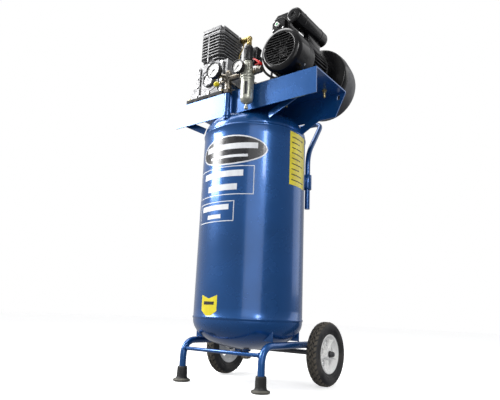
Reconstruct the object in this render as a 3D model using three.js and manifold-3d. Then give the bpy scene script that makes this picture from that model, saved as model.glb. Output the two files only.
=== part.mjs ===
// Vertical tank air compressor: tank on a wheeled tube frame, a deck on top
// with a twin in-line pump, an electric motor, a belt guard and the air fittings.
// Millimetres, +Z up. X runs along the deck (pump at -X, motor at +X), the gauges
// and feet are at -Y, the wheels, belt guard and handle at +Y.
import * as THREE from 'three';
import { mergeVertices } from 'three/addons/utils/BufferGeometryUtils.js';
import Module from 'manifold-3d';

const wasm = await Module();
wasm.setup();
const { Manifold, Mesh: MMesh } = wasm;

// ---------------------------------------------------------------- dimensions
const GAP = 0.4;                 // clearance between touching pieces
// tank
const TANK_R = 185, TANK_WALL = 2.5, TANK_Z0 = 201, TANK_Z1 = 853, DOME_H = 93;
// deck: a folded channel plate
const DECK = { x0: -257, x1: 345, y0: -160, y1: 47, z: 983, t: 4, drop: 88 };
// running gear
const WHEEL = { r: 104.5, w: 46, x: 214, y: 161, rim: 64, bore: 8.5 };
const LEG = { x: 159, y: -136, r: 11, zBend: 131 };
const AXLE_R = 8;
// pump
const PUMP = { x: -125, y: -73, zc: 1073, base: 1006, top: 1142, deck: 1262 };
const BORE_R = 27.5, PITCH = 68, THROW = 17, ROD_L = 121, PIN_TO_CROWN = 49;
const BLOCK = { w: 112, d: 136, fins: 9, finPitch: 12.4, finT: 4 };
// motor
const MOT = { x: 214, z: 1078, r: 72, cowlR: 77, y0: -118, y1: 32, cowlY: -176 };
// belt drive
const BELT_Y = 118, BELT_W = 10, BELT_T = 8, FLY_GROOVE = 66, PUL_GROOVE = 29;
// guard
const GUARD = { y0: 72, seam: 97, y1: 182, t: 3 };
// air line
const RISER = { x: 5, y: -177, r: 11 };
const FILT = { x: 97, y: -188 };
const SWITCH = { x0: 60, x1: 118, y0: -168, y1: -136, z0: 1066, z1: 1122 };
const GAUGE1 = { x: -30, z: 1046, r: 30, y: -226, d: 23 };
const GAUGE2 = { x: 79, z: 1030, r: 24, y: -226, d: 21 };
const VALVE = { x: 137, y: -184, z: 1016 };
// handle
const HAND = { x: 118, y: 187, r: 10, z0: 617, zBend: 835, yTop: 300, zTop: 1003 };

// ---------------------------------------------------------------- materials
const mat = (color, roughness, metalness) => new THREE.MeshStandardMaterial({ color, roughness, metalness });
const BLUE = mat(0x1f4fae, 0.32, 0.55), BLACK = mat(0x141416, 0.5, 0.1), MOTORGREY = mat(0x2c2d33, 0.5, 0.3),
  ALU = mat(0xb4b4bc, 0.5, 0.7), STEEL = mat(0x9a9ca2, 0.35, 0.9), BRASS = mat(0xb39a4e, 0.35, 0.9),
  NICKEL = mat(0xb9bcc0, 0.25, 0.95), RUBBER = mat(0x2a2826, 0.9, 0), WHITE = mat(0xe9e9e6, 0.45, 0),
  GREY = mat(0x6f7078, 0.5, 0), RED = mat(0xd01818, 0.4, 0), YELLOW = mat(0xe8d810, 0.4, 0),
  OLIVE = mat(0xa9ab98, 0.4, 0.6), IRON = mat(0x55565a, 0.6, 0.6), ZINC = mat(0xb8a860, 0.4, 0.8);

// ---------------------------------------------------------------- helpers
const ROUND = 0.48;               // share of each curve's full facet count that is built
const facets = (n) => n <= 6 ? n : Math.max(8, 2 * Math.round(n * ROUND / 2));
function solid(geo) {
  const g = geo.clone();
  g.deleteAttribute('normal'); g.deleteAttribute('uv');
  const m = mergeVertices(g, 1e-4);
  const p = m.attributes.position.array, idx = m.index.array, tri = [];
  for (let i = 0; i < idx.length; i += 3) {
    const [a, b, c] = [idx[i], idx[i + 1], idx[i + 2]];
    if (a !== b && b !== c && a !== c) tri.push(a, b, c);
  }
  let v = 0;
  for (let i = 0; i < tri.length; i += 3) {
    const [a, b, c] = [tri[i] * 3, tri[i + 1] * 3, tri[i + 2] * 3];
    v += p[a] * (p[b + 1] * p[c + 2] - p[b + 2] * p[c + 1]) - p[a + 1] * (p[b] * p[c + 2] - p[b + 2] * p[c])
      + p[a + 2] * (p[b] * p[c + 1] - p[b + 1] * p[c]);
  }
  if (v < 0) for (let i = 0; i < tri.length; i += 3) { const t = tri[i]; tri[i] = tri[i + 1]; tri[i + 1] = t; }
  return new Manifold(new MMesh({ numProp: 3, vertProperties: new Float32Array(p), triVerts: new Uint32Array(tri) }));
}
function geom(man) {
  const m = man.getMesh(), n = m.numProp, g = new THREE.BufferGeometry();
  const pos = new Float32Array(m.vertProperties.length / n * 3);
  for (let i = 0; i < pos.length / 3; i++) for (let k = 0; k < 3; k++) pos[i * 3 + k] = m.vertProperties[i * n + k];
  g.setAttribute('position', new THREE.BufferAttribute(pos, 3));
  g.setIndex(Array.from(m.triVerts));
  return g;
}
const group = new THREE.Group();
function put(name, man, material) {
  const mesh = new THREE.Mesh(geom(man), material);
  mesh.name = name;
  group.add(mesh);
}
const union = (...l) => l.reduce((a, b) => a.add(b));
const cut = (a, ...l) => l.reduce((s, b) => s.subtract(b), a);
const box = (x0, x1, y0, y1, z0, z1) =>
  solid(new THREE.BoxGeometry(x1 - x0, y1 - y0, z1 - z0).translate((x0 + x1) / 2, (y0 + y1) / 2, (z0 + z1) / 2));
// a cylinder or cone along an axis: c gives the two other coordinates in x,y,z order
function cyl(axis, r0, r1, a, b, c, seg = 20, turn = 0) {
  const g = new THREE.CylinderGeometry(r1, r0, b - a, facets(seg));   // along +Y, r1 at the top
  g.rotateY(turn);
  if (axis === 'z') { g.rotateX(Math.PI / 2); g.translate(c[0], c[1], (a + b) / 2); }
  if (axis === 'y') { g.translate(c[0], (a + b) / 2, c[1]); }
  if (axis === 'x') { g.rotateZ(-Math.PI / 2); g.translate((a + b) / 2, c[0], c[1]); }
  return solid(g);
}
const rod = (axis, r, a, b, c, seg, turn) => cyl(axis, r, r, a, b, c, seg, turn);
const hex = (axis, af, a, b, c, turn = 0) => rod(axis, af / Math.sqrt(3), a, b, c, 6, turn);
// revolve [radius, height] points about an axis through c
function lathe(axis, pts, c, seg = 24) {
  const g = new THREE.LatheGeometry(pts.map(p => new THREE.Vector2(p[0], p[1])), facets(seg));
  if (axis === 'z') { g.rotateX(Math.PI / 2); g.translate(c[0], c[1], 0); }
  if (axis === 'y') g.translate(c[0], 0, c[1]);
  if (axis === 'x') { g.rotateZ(-Math.PI / 2); g.translate(0, c[0], c[1]); }
  return solid(g);
}
// a path through points, with one extrusion step at each of them
class Route extends THREE.Curve {
  constructor(points) { super(); this.points = points; }
  getPoint(t, out = new THREE.Vector3()) {
    const n = this.points.length - 1, k = Math.min(n - 1, Math.floor(t * n + 1e-9));
    return out.copy(this.points[k]).lerp(this.points[k + 1], t * n - k);
  }
  getPointAt(u, out) { return this.getPoint(u, out); }
  getTangentAt(u, out = new THREE.Vector3()) {
    const n = this.points.length - 1, k = Math.round(u * n), a = new THREE.Vector3(), b = new THREE.Vector3();
    if (k > 0) a.subVectors(this.points[k], this.points[k - 1]).normalize();
    if (k < n) b.subVectors(this.points[k + 1], this.points[k]).normalize();
    return out.addVectors(a, b).normalize();
  }
}
// a polyline with its corners rounded by short chords
function path(points, fillet, chords = 3) {
  const P = points.map(p => new THREE.Vector3(...p)), out = [P[0]];
  for (let i = 1; i < P.length - 1; i++) {
    const a = P[i - 1].clone().sub(P[i]), b = P[i + 1].clone().sub(P[i]);
    const f = Math.min(fillet, a.length() * 0.49, b.length() * 0.49);
    const s = P[i].clone().add(a.setLength(f)), e = P[i].clone().add(b.setLength(f));
    out.push(...new THREE.QuadraticBezierCurve3(s, P[i], e).getPoints(chords));
  }
  out.push(P[P.length - 1]);
  return new Route(out);
}
function circleShape(r, n) {
  const s = new THREE.Shape();
  for (let i = 0; i < n; i++) {
    const a = 2 * Math.PI * i / n;
    if (i === 0) s.moveTo(r, 0); else s.lineTo(r * Math.cos(a), r * Math.sin(a));
  }
  s.closePath();
  return s;
}
// a round bar of radius r along a rounded polyline or a smooth curve
function tube(points, r, { fillet = 40, sides = 8, chords = 3, steps = 24, smooth = false } = {}) {
  const route = smooth ? new Route(new THREE.CatmullRomCurve3(points.map(p => new THREE.Vector3(...p)), false, 'centripetal').getSpacedPoints(steps)) : path(points, fillet, chords);
  return solid(new THREE.ExtrudeGeometry(circleShape(r, sides), { steps: route.points.length - 1, extrudePath: route, curveSegments: 1 }));
}
// extrude a polygon of [x, z] points along Y
function slabXZ(pts, y0, y1, holes = []) {
  const s = new THREE.Shape(pts.map(p => new THREE.Vector2(p[0], p[1])));
  for (const h of holes) s.holes.push(new THREE.Path(h.map(p => new THREE.Vector2(p[0], p[1]))));
  const g = new THREE.ExtrudeGeometry(s, { depth: y1 - y0, bevelEnabled: false, curveSegments: 4 });
  g.rotateX(Math.PI / 2);          // (x, y, z) -> (x, -z, y)
  g.translate(0, y1, 0);
  return solid(g);
}
const ring = (cx, cz, r, n, a0 = 0, a1 = 2 * Math.PI, end = false) => {
  const out = [];
  for (let i = 0; i < n + (end ? 1 : 0); i++) { const a = a0 + (a1 - a0) * i / n; out.push([cx + r * Math.cos(a), cz + r * Math.sin(a)]); }
  return out;
};
const rrect = (x0, x1, z0, z1, r, n = 2) => [
  ...ring(x1 - r, z1 - r, r, n, 0, Math.PI / 2, true), ...ring(x0 + r, z1 - r, r, n, Math.PI / 2, Math.PI, true),
  ...ring(x0 + r, z0 + r, r, n, Math.PI, 1.5 * Math.PI, true), ...ring(x1 - r, z0 + r, r, n, 1.5 * Math.PI, 2 * Math.PI, true)];
// loft equal-count [x, z] rings standing at increasing y
function loft(rings) {
  const n = rings[0].pts.length, pos = [], tri = [];
  for (const R of rings) for (const p of R.pts) pos.push(p[0], R.y, p[1]);
  for (let k = 0; k < rings.length - 1; k++) for (let i = 0; i < n; i++) {
    const j = (i + 1) % n, a = k * n + i, b = k * n + j, c = (k + 1) * n + j, d = (k + 1) * n + i;
    tri.push(a, b, c, a, c, d);
  }
  const capTri = (k, flip) => {
    const pts = rings[k].pts.map(p => new THREE.Vector2(p[0], p[1]));
    for (const f of THREE.ShapeUtils.triangulateShape(pts, [])) {
      const [a, b, c] = f.map(i => k * n + i);
      if (flip) tri.push(a, c, b); else tri.push(a, b, c);
    }
  };
  capTri(0, true); capTri(rings.length - 1, false);
  const g = new THREE.BufferGeometry();
  g.setAttribute('position', new THREE.BufferAttribute(new Float32Array(pos), 3));
  g.setIndex(tri);
  return solid(g);
}

// a flat bar standing on edge between two points
function strut(a, b, w, t = 4) {
  const A = new THREE.Vector3(...a), B = new THREE.Vector3(...b), L = A.distanceTo(B);
  const u = B.clone().sub(A).normalize(), v = new THREE.Vector3().crossVectors(new THREE.Vector3(0, 1, 0), u).normalize();
  const g = new THREE.BoxGeometry(L + w * 0.8, w, t);
  g.applyMatrix4(new THREE.Matrix4().makeBasis(u, v, new THREE.Vector3().crossVectors(u, v)));
  g.translate((A.x + B.x) / 2, (A.y + B.y) / 2, (A.z + B.z) / 2);
  return solid(g);
}

// ---------------------------------------------------------------- tank
function tankProfile(off, n) {
  const R = TANK_R + off, H = DOME_H + off, pts = [];
  for (let i = 0; i <= n; i++) { const a = Math.PI / 2 * i / n; pts.push([R * Math.sin(a), TANK_Z0 - H * Math.cos(a)]); }
  for (let i = 0; i <= n; i++) { const a = Math.PI / 2 * (1 - i / n); pts.push([R * Math.sin(a), TANK_Z1 + H * Math.cos(a)]); }
  pts[0][0] = 0; pts[pts.length - 1][0] = 0;
  return pts;
}
const tankOuter = lathe('z', tankProfile(0, 5), [0, 0], 44);
const tankGrown = lathe('z', tankProfile(GAP + 0.4, 5), [0, 0], 44);    // for shaping what is welded on
const domeZ = (r) => TANK_Z1 + DOME_H * Math.sqrt(Math.max(0, 1 - (r / TANK_R) ** 2));
const CHECK = { x: -33, y: -20 };
{
  // what is welded to the tank: ports, tabs over the leg frame, handle sockets on webs
  const welded = [rod('z', 15, TANK_Z0 - DOME_H - 6, TANK_Z0 - DOME_H + 4, [0, 0], 16), rod('z', 15, 935, 951, [CHECK.x, CHECK.y], 16)];
  for (const s of [-1, 1]) {
    for (const y of [-78, 78]) welded.push(s > 0 ? box(104, 157, y - 3, y + 3, LEG.zBend + LEG.r + GAP, 176) : box(-157, -104, y - 3, y + 3, LEG.zBend + LEG.r + GAP, 176));
    for (const [z0, z1] of [[693, 749]]) {
      const hx = s * HAND.x, hole = rod('z', HAND.r + 1.4, z0 - 1, z1 + 1, [hx, HAND.y], 16);
      welded.push(union(rod('z', 15.5, z0, z1, [hx, HAND.y], 16), box(hx - 3, hx + 3, 120, HAND.y - 12.5, z0 + 3, z1 - 3)).subtract(hole));
    }
  }
  put('tank_shell', cut(union(tankOuter, ...welded),
    lathe('z', tankProfile(-TANK_WALL, 4), [0, 0], 44),
    rod('z', 5, 90, 125, [0, 0], 12), rod('z', 8, 925, 960, [CHECK.x, CHECK.y], 12)), BLUE);
}
put('drain_knob', union(rod('z', 4.4, 84, 108, [0, 0], 12), hex('z', 18, 88, 101.4, [0, 0]), rod('z', 11, 78, 88, [0, 0], 12),
  box(-19, 19, -2.5, 2.5, 80, 87)), BRASS);

// ---------------------------------------------------------------- running gear
for (const [side, s] of [['left', -1], ['right', 1]]) {
  const x = s * LEG.x;
  put('foot_' + side, lathe('z', [[0, 0], [25, 0], [28.5, 3], [28.5, 7], [18.5, 11], [17, 16], [16.4, 46], [14.6, 48], [LEG.r + 1.2, 48], [LEG.r + 1.2, 13.5], [0, 13.5]], [x, LEG.y], 20), RUBBER);
  const hx = s * WHEEL.x, w = WHEEL.w / 2, R = WHEEL.r, rr = WHEEL.rim;
  const flip = p => p.map(q => [q[0], s * q[1]]);
  put('tyre_' + side, lathe('x', flip([[rr + GAP, -15], [rr + 10, -18], [80, -w + 0.5], [93, -w], [99, -17], [R, -11], [R, 11], [99, 17], [93, w], [80, w - 0.5], [rr + 10, 18], [rr + GAP, 15], [rr + GAP, -15]].map(q => [q[0], q[1] + s * hx])), [WHEEL.y, R], 42), RUBBER);
  let rim = lathe('x', flip([[WHEEL.bore, -20], [17, -20], [17, -6], [52, -6], [57, -15], [rr, -15], [rr, 15], [57, 15], [53, 3], [20, 3], [17, 14], [WHEEL.bore, 14], [WHEEL.bore, -20]].map(q => [q[0], q[1] + s * hx])), [WHEEL.y, R], 42);
  for (let k = 0; k < 5; k++) {
    const a = Math.PI / 2 + 2 * Math.PI * k / 5;
    rim = rim.subtract(rod('x', 10, s * hx - 30, s * hx + 30, [WHEEL.y + 35 * Math.cos(a), R + 35 * Math.sin(a)], 10).translate([hx - s * hx, 0, 0]));
  }
  put('rim_' + side, rim, WHITE);
}
{
  let ax = rod('x', AXLE_R, -245, 245, [WHEEL.y, WHEEL.r], 14);
  for (const d of [-1, 1]) {
    const at = (r, a, b, seg) => rod('x', r, Math.min(d * a, d * b), Math.max(d * a, d * b), [WHEEL.y, WHEEL.r], seg);
    ax = union(ax, at(15, 189.5, 193, 16), at(15, 228.6, 231, 16), at(22 / Math.sqrt(3), 231, 241, 6));
  }
  put('axle', ax, IRON);
}
{
  // both legs with their side tubes, the axle plates and the front crossbar, welded together
  let f = rod('x', 6, -LEG.x, LEG.x, [LEG.y, 105], 10);
  for (const s of [-1, 1]) {
    const x = s * LEG.x;
    f = f.add(tube([[x, LEG.y, 14], [x, LEG.y, LEG.zBend], [x, WHEEL.y + 14, LEG.zBend]], LEG.r, { fillet: 44, chords: 4 }));
    f = f.add(box(x - 4, x + 4, WHEEL.y - 15, WHEEL.y + 13, WHEEL.r - 16, LEG.zBend)
      .subtract(rod('x', AXLE_R + 1, x - 5, x + 5, [WHEEL.y, WHEEL.r], 14)));
  }
  put('leg_frame', f, BLUE);
}
put('handle', tube([[-HAND.x, HAND.y, HAND.z0], [-HAND.x, HAND.y, HAND.zBend], [-HAND.x, HAND.yTop, HAND.zTop], [HAND.x, HAND.yTop, HAND.zTop],
  [HAND.x, HAND.y, HAND.zBend], [HAND.x, HAND.y, HAND.z0]], HAND.r, { fillet: 34, chords: 3 }), BLUE);

// ---------------------------------------------------------------- deck
const MB = { left_front: [MOT.x - 76, -95], right_front: [MOT.x + 76, -95], left_rear: [MOT.x - 76, -4], right_rear: [MOT.x + 76, -4] };   // motor bolts
{
  const D = DECK, zb = D.z - D.drop;
  const top = box(D.x0, D.x1, D.y0, D.y1, D.z - D.t, D.z);
  const front = box(D.x0, D.x1, D.y0, D.y0 + D.t, zb, D.z);
  const back = slabXZ([[D.x0 + 38, zb], [D.x1 - 38, zb], [D.x1, D.z - 8], [D.x1, D.z], [D.x0, D.z], [D.x0, D.z - 8]], D.y1 - D.t, D.y1);
  // two straps welded inside the rear flange reach down to the tank's shoulder
  const straps = [-1, 1].map(s => strut([s * 178, 36, 866], [s > 0 ? 268 : -236, 43, 922], 26).subtract(box(-400, 400, 46, 60, 800, 1000)));
  let d = union(top, front, back, ...straps).subtract(tankGrown);
  d = cut(d, rod('z', 11, D.z - 10, D.z + 5, [CHECK.x, CHECK.y], 14));
  for (const [x, y] of Object.values(MB)) d = d.subtract(rod('z', 5, D.z - 10, D.z + 5, [x, y], 10));
  d = d.subtract(slabXZ(rrect(314, 324, 955, 973, 4.9, 3), D.y1 - 10, D.y1 + 5));
  put('deck', d, BLUE);
}
for (const [side, s] of [['left', -1], ['right', 1]]) {
  const f = strut([s * 152, -122, 880], [s > 0 ? 296 : -236, -150.5, 922], 24);
  put('strut_' + side, cut(f, tankGrown, box(-400, 400, -170, -155.6, 800, 1000)), BLUE);
}

// ---------------------------------------------------------------- pump
const PX = PUMP.x, CY = [-70 - PITCH / 2, -70 + PITCH / 2], ZC = PUMP.zc;
{
  const slots = [];
  for (const x of [-196, -160, -124, -88]) slots.push(box(x - 11, x + 11, -160, 30, 989, 994));
  let p = box(-222, -46, -150, 20, DECK.z + GAP, PUMP.base - GAP);
  p = cut(p, ...slots);
  put('pump_base_plate', p, BLACK);
}
{
  // crankcase: a hollow box on a flared base, open below the bores and at the front
  const body = slabXZ([[-226, PUMP.base], [-44, PUMP.base], [-44, PUMP.top - GAP], [-196, PUMP.top - GAP], [-196, 1078], [-206, 1062], [-226, 1020]], -130, 8);
  const clip = cut(body, slabXZ([[-230, 1018], [-199, 1018], [-199, 1082], [-230, 1082]], -112, -20));
  let c = cut(clip, box(PX - 62, PX + 62, -131, 2, PUMP.base + 9, PUMP.top - 7));
  for (const y of CY) c = c.subtract(rod('z', 29, 1100, 1150, [PX, y], 24));
  c = cut(c, rod('y', 19 + GAP, -5, 12, [PX, ZC], 20));
  put('crankcase', c, ALU);
  let cov = union(slabXZ(rrect(PX - 66, PX + 66, 1014, 1138, 12, 2), -136, -130 - GAP), rod('y', 30, -146, -135, [PX, ZC], 20), rod('y', 26, -131, -124, [PX, ZC], 20));
  for (const dx of [-44, -30, 30, 44]) cov = cov.add(box(PX + dx - 2, PX + dx + 2, -141, -135, 1022, 1128));
  cov = cov.subtract(rod('y', 19 + GAP, -142, -120, [PX, ZC], 20));
  put('crankcase_cover', cov, ALU);
  const brg = (y0, y1) => rod('y', 19, y0, y1, [PX, ZC], 20).subtract(rod('y', 11, y0 - 1, y1 + 1, [PX, ZC], 16));
  put('bearing_front', brg(-141.6, -126), STEEL);
  put('bearing_rear', brg(-3, 8), STEEL);
}
{
  const hw = BLOCK.w / 2, hd = BLOCK.d / 2, z0 = PUMP.top, z1 = PUMP.deck;
  const plan = (x0, x1, y0, y1, za, zb, r) => {
    const s = new THREE.Shape(rrect(x0, x1, y0, y1, r, 1).map(p => new THREE.Vector2(p[0], p[1])));
    const g = new THREE.ExtrudeGeometry(s, { depth: zb - za, bevelEnabled: false });
    g.translate(0, 0, za);
    return solid(g);
  };
  const core = 33;
  let b = union(plan(PX - core, PX + core, PUMP.y - hd + 5, PUMP.y + hd - 5, z0 + GAP, z1, 26), plan(PX - 44, PX + 44, PUMP.y - hd + 12, PUMP.y + hd - 8, z0 + GAP, z0 + 10, 8));
  for (let k = 0; k < BLOCK.fins; k++) {
    const z = z1 - 4 - k * BLOCK.finPitch, in_ = k === BLOCK.fins - 1 ? 6 : 0;
    b = b.add(plan(PX - hw + in_, PX + hw - in_, PUMP.y - hd + in_, PUMP.y + hd - in_, z - BLOCK.finT / 2, z + BLOCK.finT / 2, 13));
  }
  b = b.add(box(PX - 14, PX - 9, PUMP.y - hd + 1, PUMP.y - hd + 12, z0 + 8, z1 - 5));
  for (const y of CY) b = b.subtract(rod('z', BORE_R, z0 - 5, z1 + 5, [PX, y], 32));
  put('cylinder_block', b, ALU);
  // head: a plate with long cooling fins that rise towards the middle
  const y0 = PUMP.y - hd, y1 = PUMP.y + hd;
  let h = plan(PX - hw + 1, PX + hw - 1, y0 + 1, y1 - 1, z1 + GAP, z1 + 18, 12);
  for (let k = 0; k < 7; k++) {
    const x = PX - 39 + k * 13, rise = [9, 13, 15, 16, 15, 13, 9][k];
    h = h.add(box(x - 2.4, x + 2.4, y0 + 5, y1 - 5, z1 + 16, z1 + 18 + rise));
  }
  h = h.add(rod('y', 8, y0 + 12, y1 - 12, [PX, z1 + 20], 12)).add(box(PX + 30, PX + hw - 1, CHECK.y - 16, CHECK.y + 16, z1 + 2, z1 + 28));
  h = h.subtract(rod('x', 8, PX + 20, PX + hw + 10, [CHECK.y, z1 + 14], 12));
  for (const x of [-32.5, 32.5]) for (const y of [y0 + 20, PUMP.y, y1 - 38]) h = h.subtract(rod('z', 6.6, z1 + 12, z1 + 45, [PX + x, y], 12)).add(hex('z', 10, z1 + 10, z1 + 20, [PX + x, y]));
  put('cylinder_head', h, ALU);
}
// motor bolts, each with its nut under the deck
for (const [nm, c] of Object.entries(MB)) {
  put('motor_bolt_' + nm, union(rod('z', 4.2, 952, 1003, c, 10), hex('z', 13, 997.6, 1004, c), hex('z', 13, DECK.z - DECK.t - 7.5, DECK.z - DECK.t - GAP, c)), ZINC);
}
{
  // crankshaft: front throw up, rear throw down
  const parts = [rod('y', 10, -140, CY[0] - 9, [PX, ZC], 16), rod('y', 12, CY[0] + 9, CY[1] - 9, [PX, ZC], 16), rod('y', 10, CY[1] + 9, 138, [PX, ZC], 16)];
  for (const [i, s] of [[0, 1], [1, -1]]) {
    for (const [a, b] of [[CY[i] - 16, CY[i] - 9], [CY[i] + 9, CY[i] + 16]]) parts.push(rod('y', 29, a, b, [PX, ZC - s * 1], 20));
    parts.push(rod('y', 9, CY[i] - 10, CY[i] + 10, [PX, ZC + s * THROW], 16));
  }
  put('crankshaft', union(...parts), IRON);
  for (const [i, s, nm] of [[0, 1, 'front'], [1, -1, 'rear']]) {
    const zb = ZC + s * THROW, zt = zb + ROD_L, y = CY[i];
    const r = cut(union(rod('y', 15, y - 8, y + 8, [PX, zb], 18), box(PX - 4.5, PX + 4.5, y - 4, y + 4, zb + 10, zt - 4), rod('y', 6.4, y - 5.5, y + 5.5, [PX, zt], 14),
      rod('y', 4, y - 11, y + 11, [PX, zt], 12)), rod('y', 9.9, y - 10, y + 10, [PX, zb], 18));
    put('con_rod_' + nm, r, ALU);
    const top = zt + PIN_TO_CROWN;
    put('piston_' + nm, lathe('z', [[0, top - 6], [25, top - 6], [25, zt - 12], [27.2, zt - 12], [27.2, top - 16], [26.4, top - 15], [26.4, top - 12], [27.2, top - 11], [27.2, top], [0, top]], [PX, y], 32), STEEL);
  }
  // flywheel with one belt groove and five spokes
  const f0 = BELT_Y - 17, f1 = BELT_Y + 15, g = BELT_W / 2 + 0.9;
  let fw = lathe('y', [[10.2, f0 - 4], [22, f0 - 4], [22, BELT_Y - 5], [60, BELT_Y - 5], [60, f0], [73, f0], [73, BELT_Y - g - 1.5], [FLY_GROOVE, BELT_Y - g], [FLY_GROOVE, BELT_Y + g], [73, BELT_Y + g + 1.5], [73, f1], [60, f1], [60, BELT_Y + 5], [22, BELT_Y + 5], [22, f1 + 3], [10.2, f1 + 3], [10.2, f0 - 4]], [PX, ZC], 36);
  for (let k = 0; k < 5; k++) { const a = 2 * Math.PI * (k + 0.25) / 5; fw = fw.subtract(rod('y', 13.5, BELT_Y - 9, BELT_Y + 9, [PX + 41 * Math.cos(a), ZC + 41 * Math.sin(a)], 12)); }
  put('flywheel', fw, IRON);
}

// ---------------------------------------------------------------- motor
{
  const { x, z, r } = MOT, ax = [x, z];
  // housing: smooth at the front, axial fins behind, two feet
  const fins = [];
  for (let k = 0; k < 16; k++) {
    const a = 2 * Math.PI * k / 16, d = 2 * Math.PI / 16;
    for (const [f, rr] of [[0, r], [0.32, r], [0.42, r - 9], [0.9, r - 9]]) fins.push([x + rr * Math.cos(a + f * d), z + rr * Math.sin(a + f * d)]);
  }
  let h = union(slabXZ(fins, -64, MOT.y1), rod('y', r, MOT.y0, -62, ax, 40));
  for (const [y0, y1] of [[-107, -83], [-16, 8]]) h = h.add(box(x - 86, x + 86, y0, y1, DECK.z + GAP, 997.2)).add(box(x - 44, x + 44, y0, y1, 990, 1030));
  h = h.add(box(x - 20, x + 26, -100, -40, z + 60, 1152.6)).add(box(x + 14, x + 44, -60, 30, z + 50, 1152.6));
  h = h.subtract(rod('y', 58, -106, 200, ax, 32)).subtract(rod('y', 11, -130, 0, ax, 16));
  for (const [bx, by] of Object.values(MB)) h = h.subtract(rod('z', 5, 975, 1005, [bx, by], 10));
  put('motor_housing', h, MOTORGREY);
  put('motor_end_bell', lathe('y', [[11, 24], [57.6, 24], [57.6, MOT.y1 + GAP], [66, MOT.y1 + GAP], [66, 40], [30, 48], [11, 48], [11, 24]], ax, 32), MOTORGREY);
  const cy = MOT.cowlY, R = MOT.cowlR;
  let cowl = lathe('y', [[0, cy], [62, cy], [70, cy + 3], [75, cy + 9], [R, cy + 18], [R, -108], [R - 2.2, -108], [R - 2.2, cy + 19], [73, cy + 11], [68, cy + 5.4], [61, cy + 2.4], [0, cy + 2.4]], ax, 36);
  for (let k = -5; k <= 5; k++) {
    const dz = k * 10, w = Math.sqrt(57 * 57 - dz * dz);
    cowl = cowl.subtract(box(x - w, x + w, cy - 4, cy + 6, z + dz - 2.8, z + dz + 2.8));
  }
  put('fan_cowl', cowl, BLACK);
  let fan = union(rod('y', 20, -152, -134, ax, 18), lathe('y', [[18, -140], [66, -140], [66, -137.5], [18, -137.5], [18, -140]], ax, 28));
  for (let k = 0; k < 7; k++) {
    const a = 2 * Math.PI * k / 7;
    fan = fan.add(box(18, 66, -161, -138, -1.3, 1.3).rotate([0, 180 * a / Math.PI, 0]).translate([x, 0, z]));
  }
  put('motor_rotor', union(fan, rod('y', 9, -158, 136, ax, 16), rod('y', 38, -84, -8, ax, 24)), STEEL);
  const g = BELT_W / 2 + 0.9, f0 = BELT_Y - 12, f1 = BELT_Y + 12;
  put('motor_pulley', lathe('y', [[9.3, f0 - 12], [18, f0 - 12], [18, f0], [36, f0], [36, BELT_Y - g - 1.5], [PUL_GROOVE, BELT_Y - g], [PUL_GROOVE, BELT_Y + g], [36, BELT_Y + g + 1.5], [36, f1], [9.3, f1], [9.3, f0 - 12]], ax, 28), IRON);
}
{
  // terminal box with its reset button, and the capacitor cover
  const tb = cut(union(slabXZ([[137, 1153], [204, 1153], [208, 1160], [208, 1250], [198, 1259], [156, 1259], [137, 1238]], -106, -44),
    slabXZ([[142, 1190], [194, 1190], [194, 1228], [184, 1240], [158, 1240], [142, 1224]], -117, -105)),
    box(142, 203, -100, -50, 1158, 1240), rod('y', 6.4, -120, -98, [166, 1212], 14), rod('x', 7, 132, 150, [-72, 1180], 12));
  put('terminal_box', tb, BLACK);
  put('reset_button', union(rod('y', 6, -121, -101, [166, 1212], 14), rod('y', 8.5, -126, -120.6, [166, 1212], 16)), WHITE);
  const cx = 248, cz = 1207;
  const cap = cut(union(lathe('y', [[0, -150], [23, -150], [28, -144], [28, 42], [24, 50], [16, 54], [0, 54]], [cx, cz], 24), box(232, 256, -56, 26, 1153, 1190)),
    lathe('y', [[0, -146], [22, -146], [25, -142], [25, 41], [20, 48], [0, 48]], [cx, cz], 20), rod('y', 8, -153, -140, [cx, cz], 12));
  put('capacitor_cover', cap, MOTORGREY);
}

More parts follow.
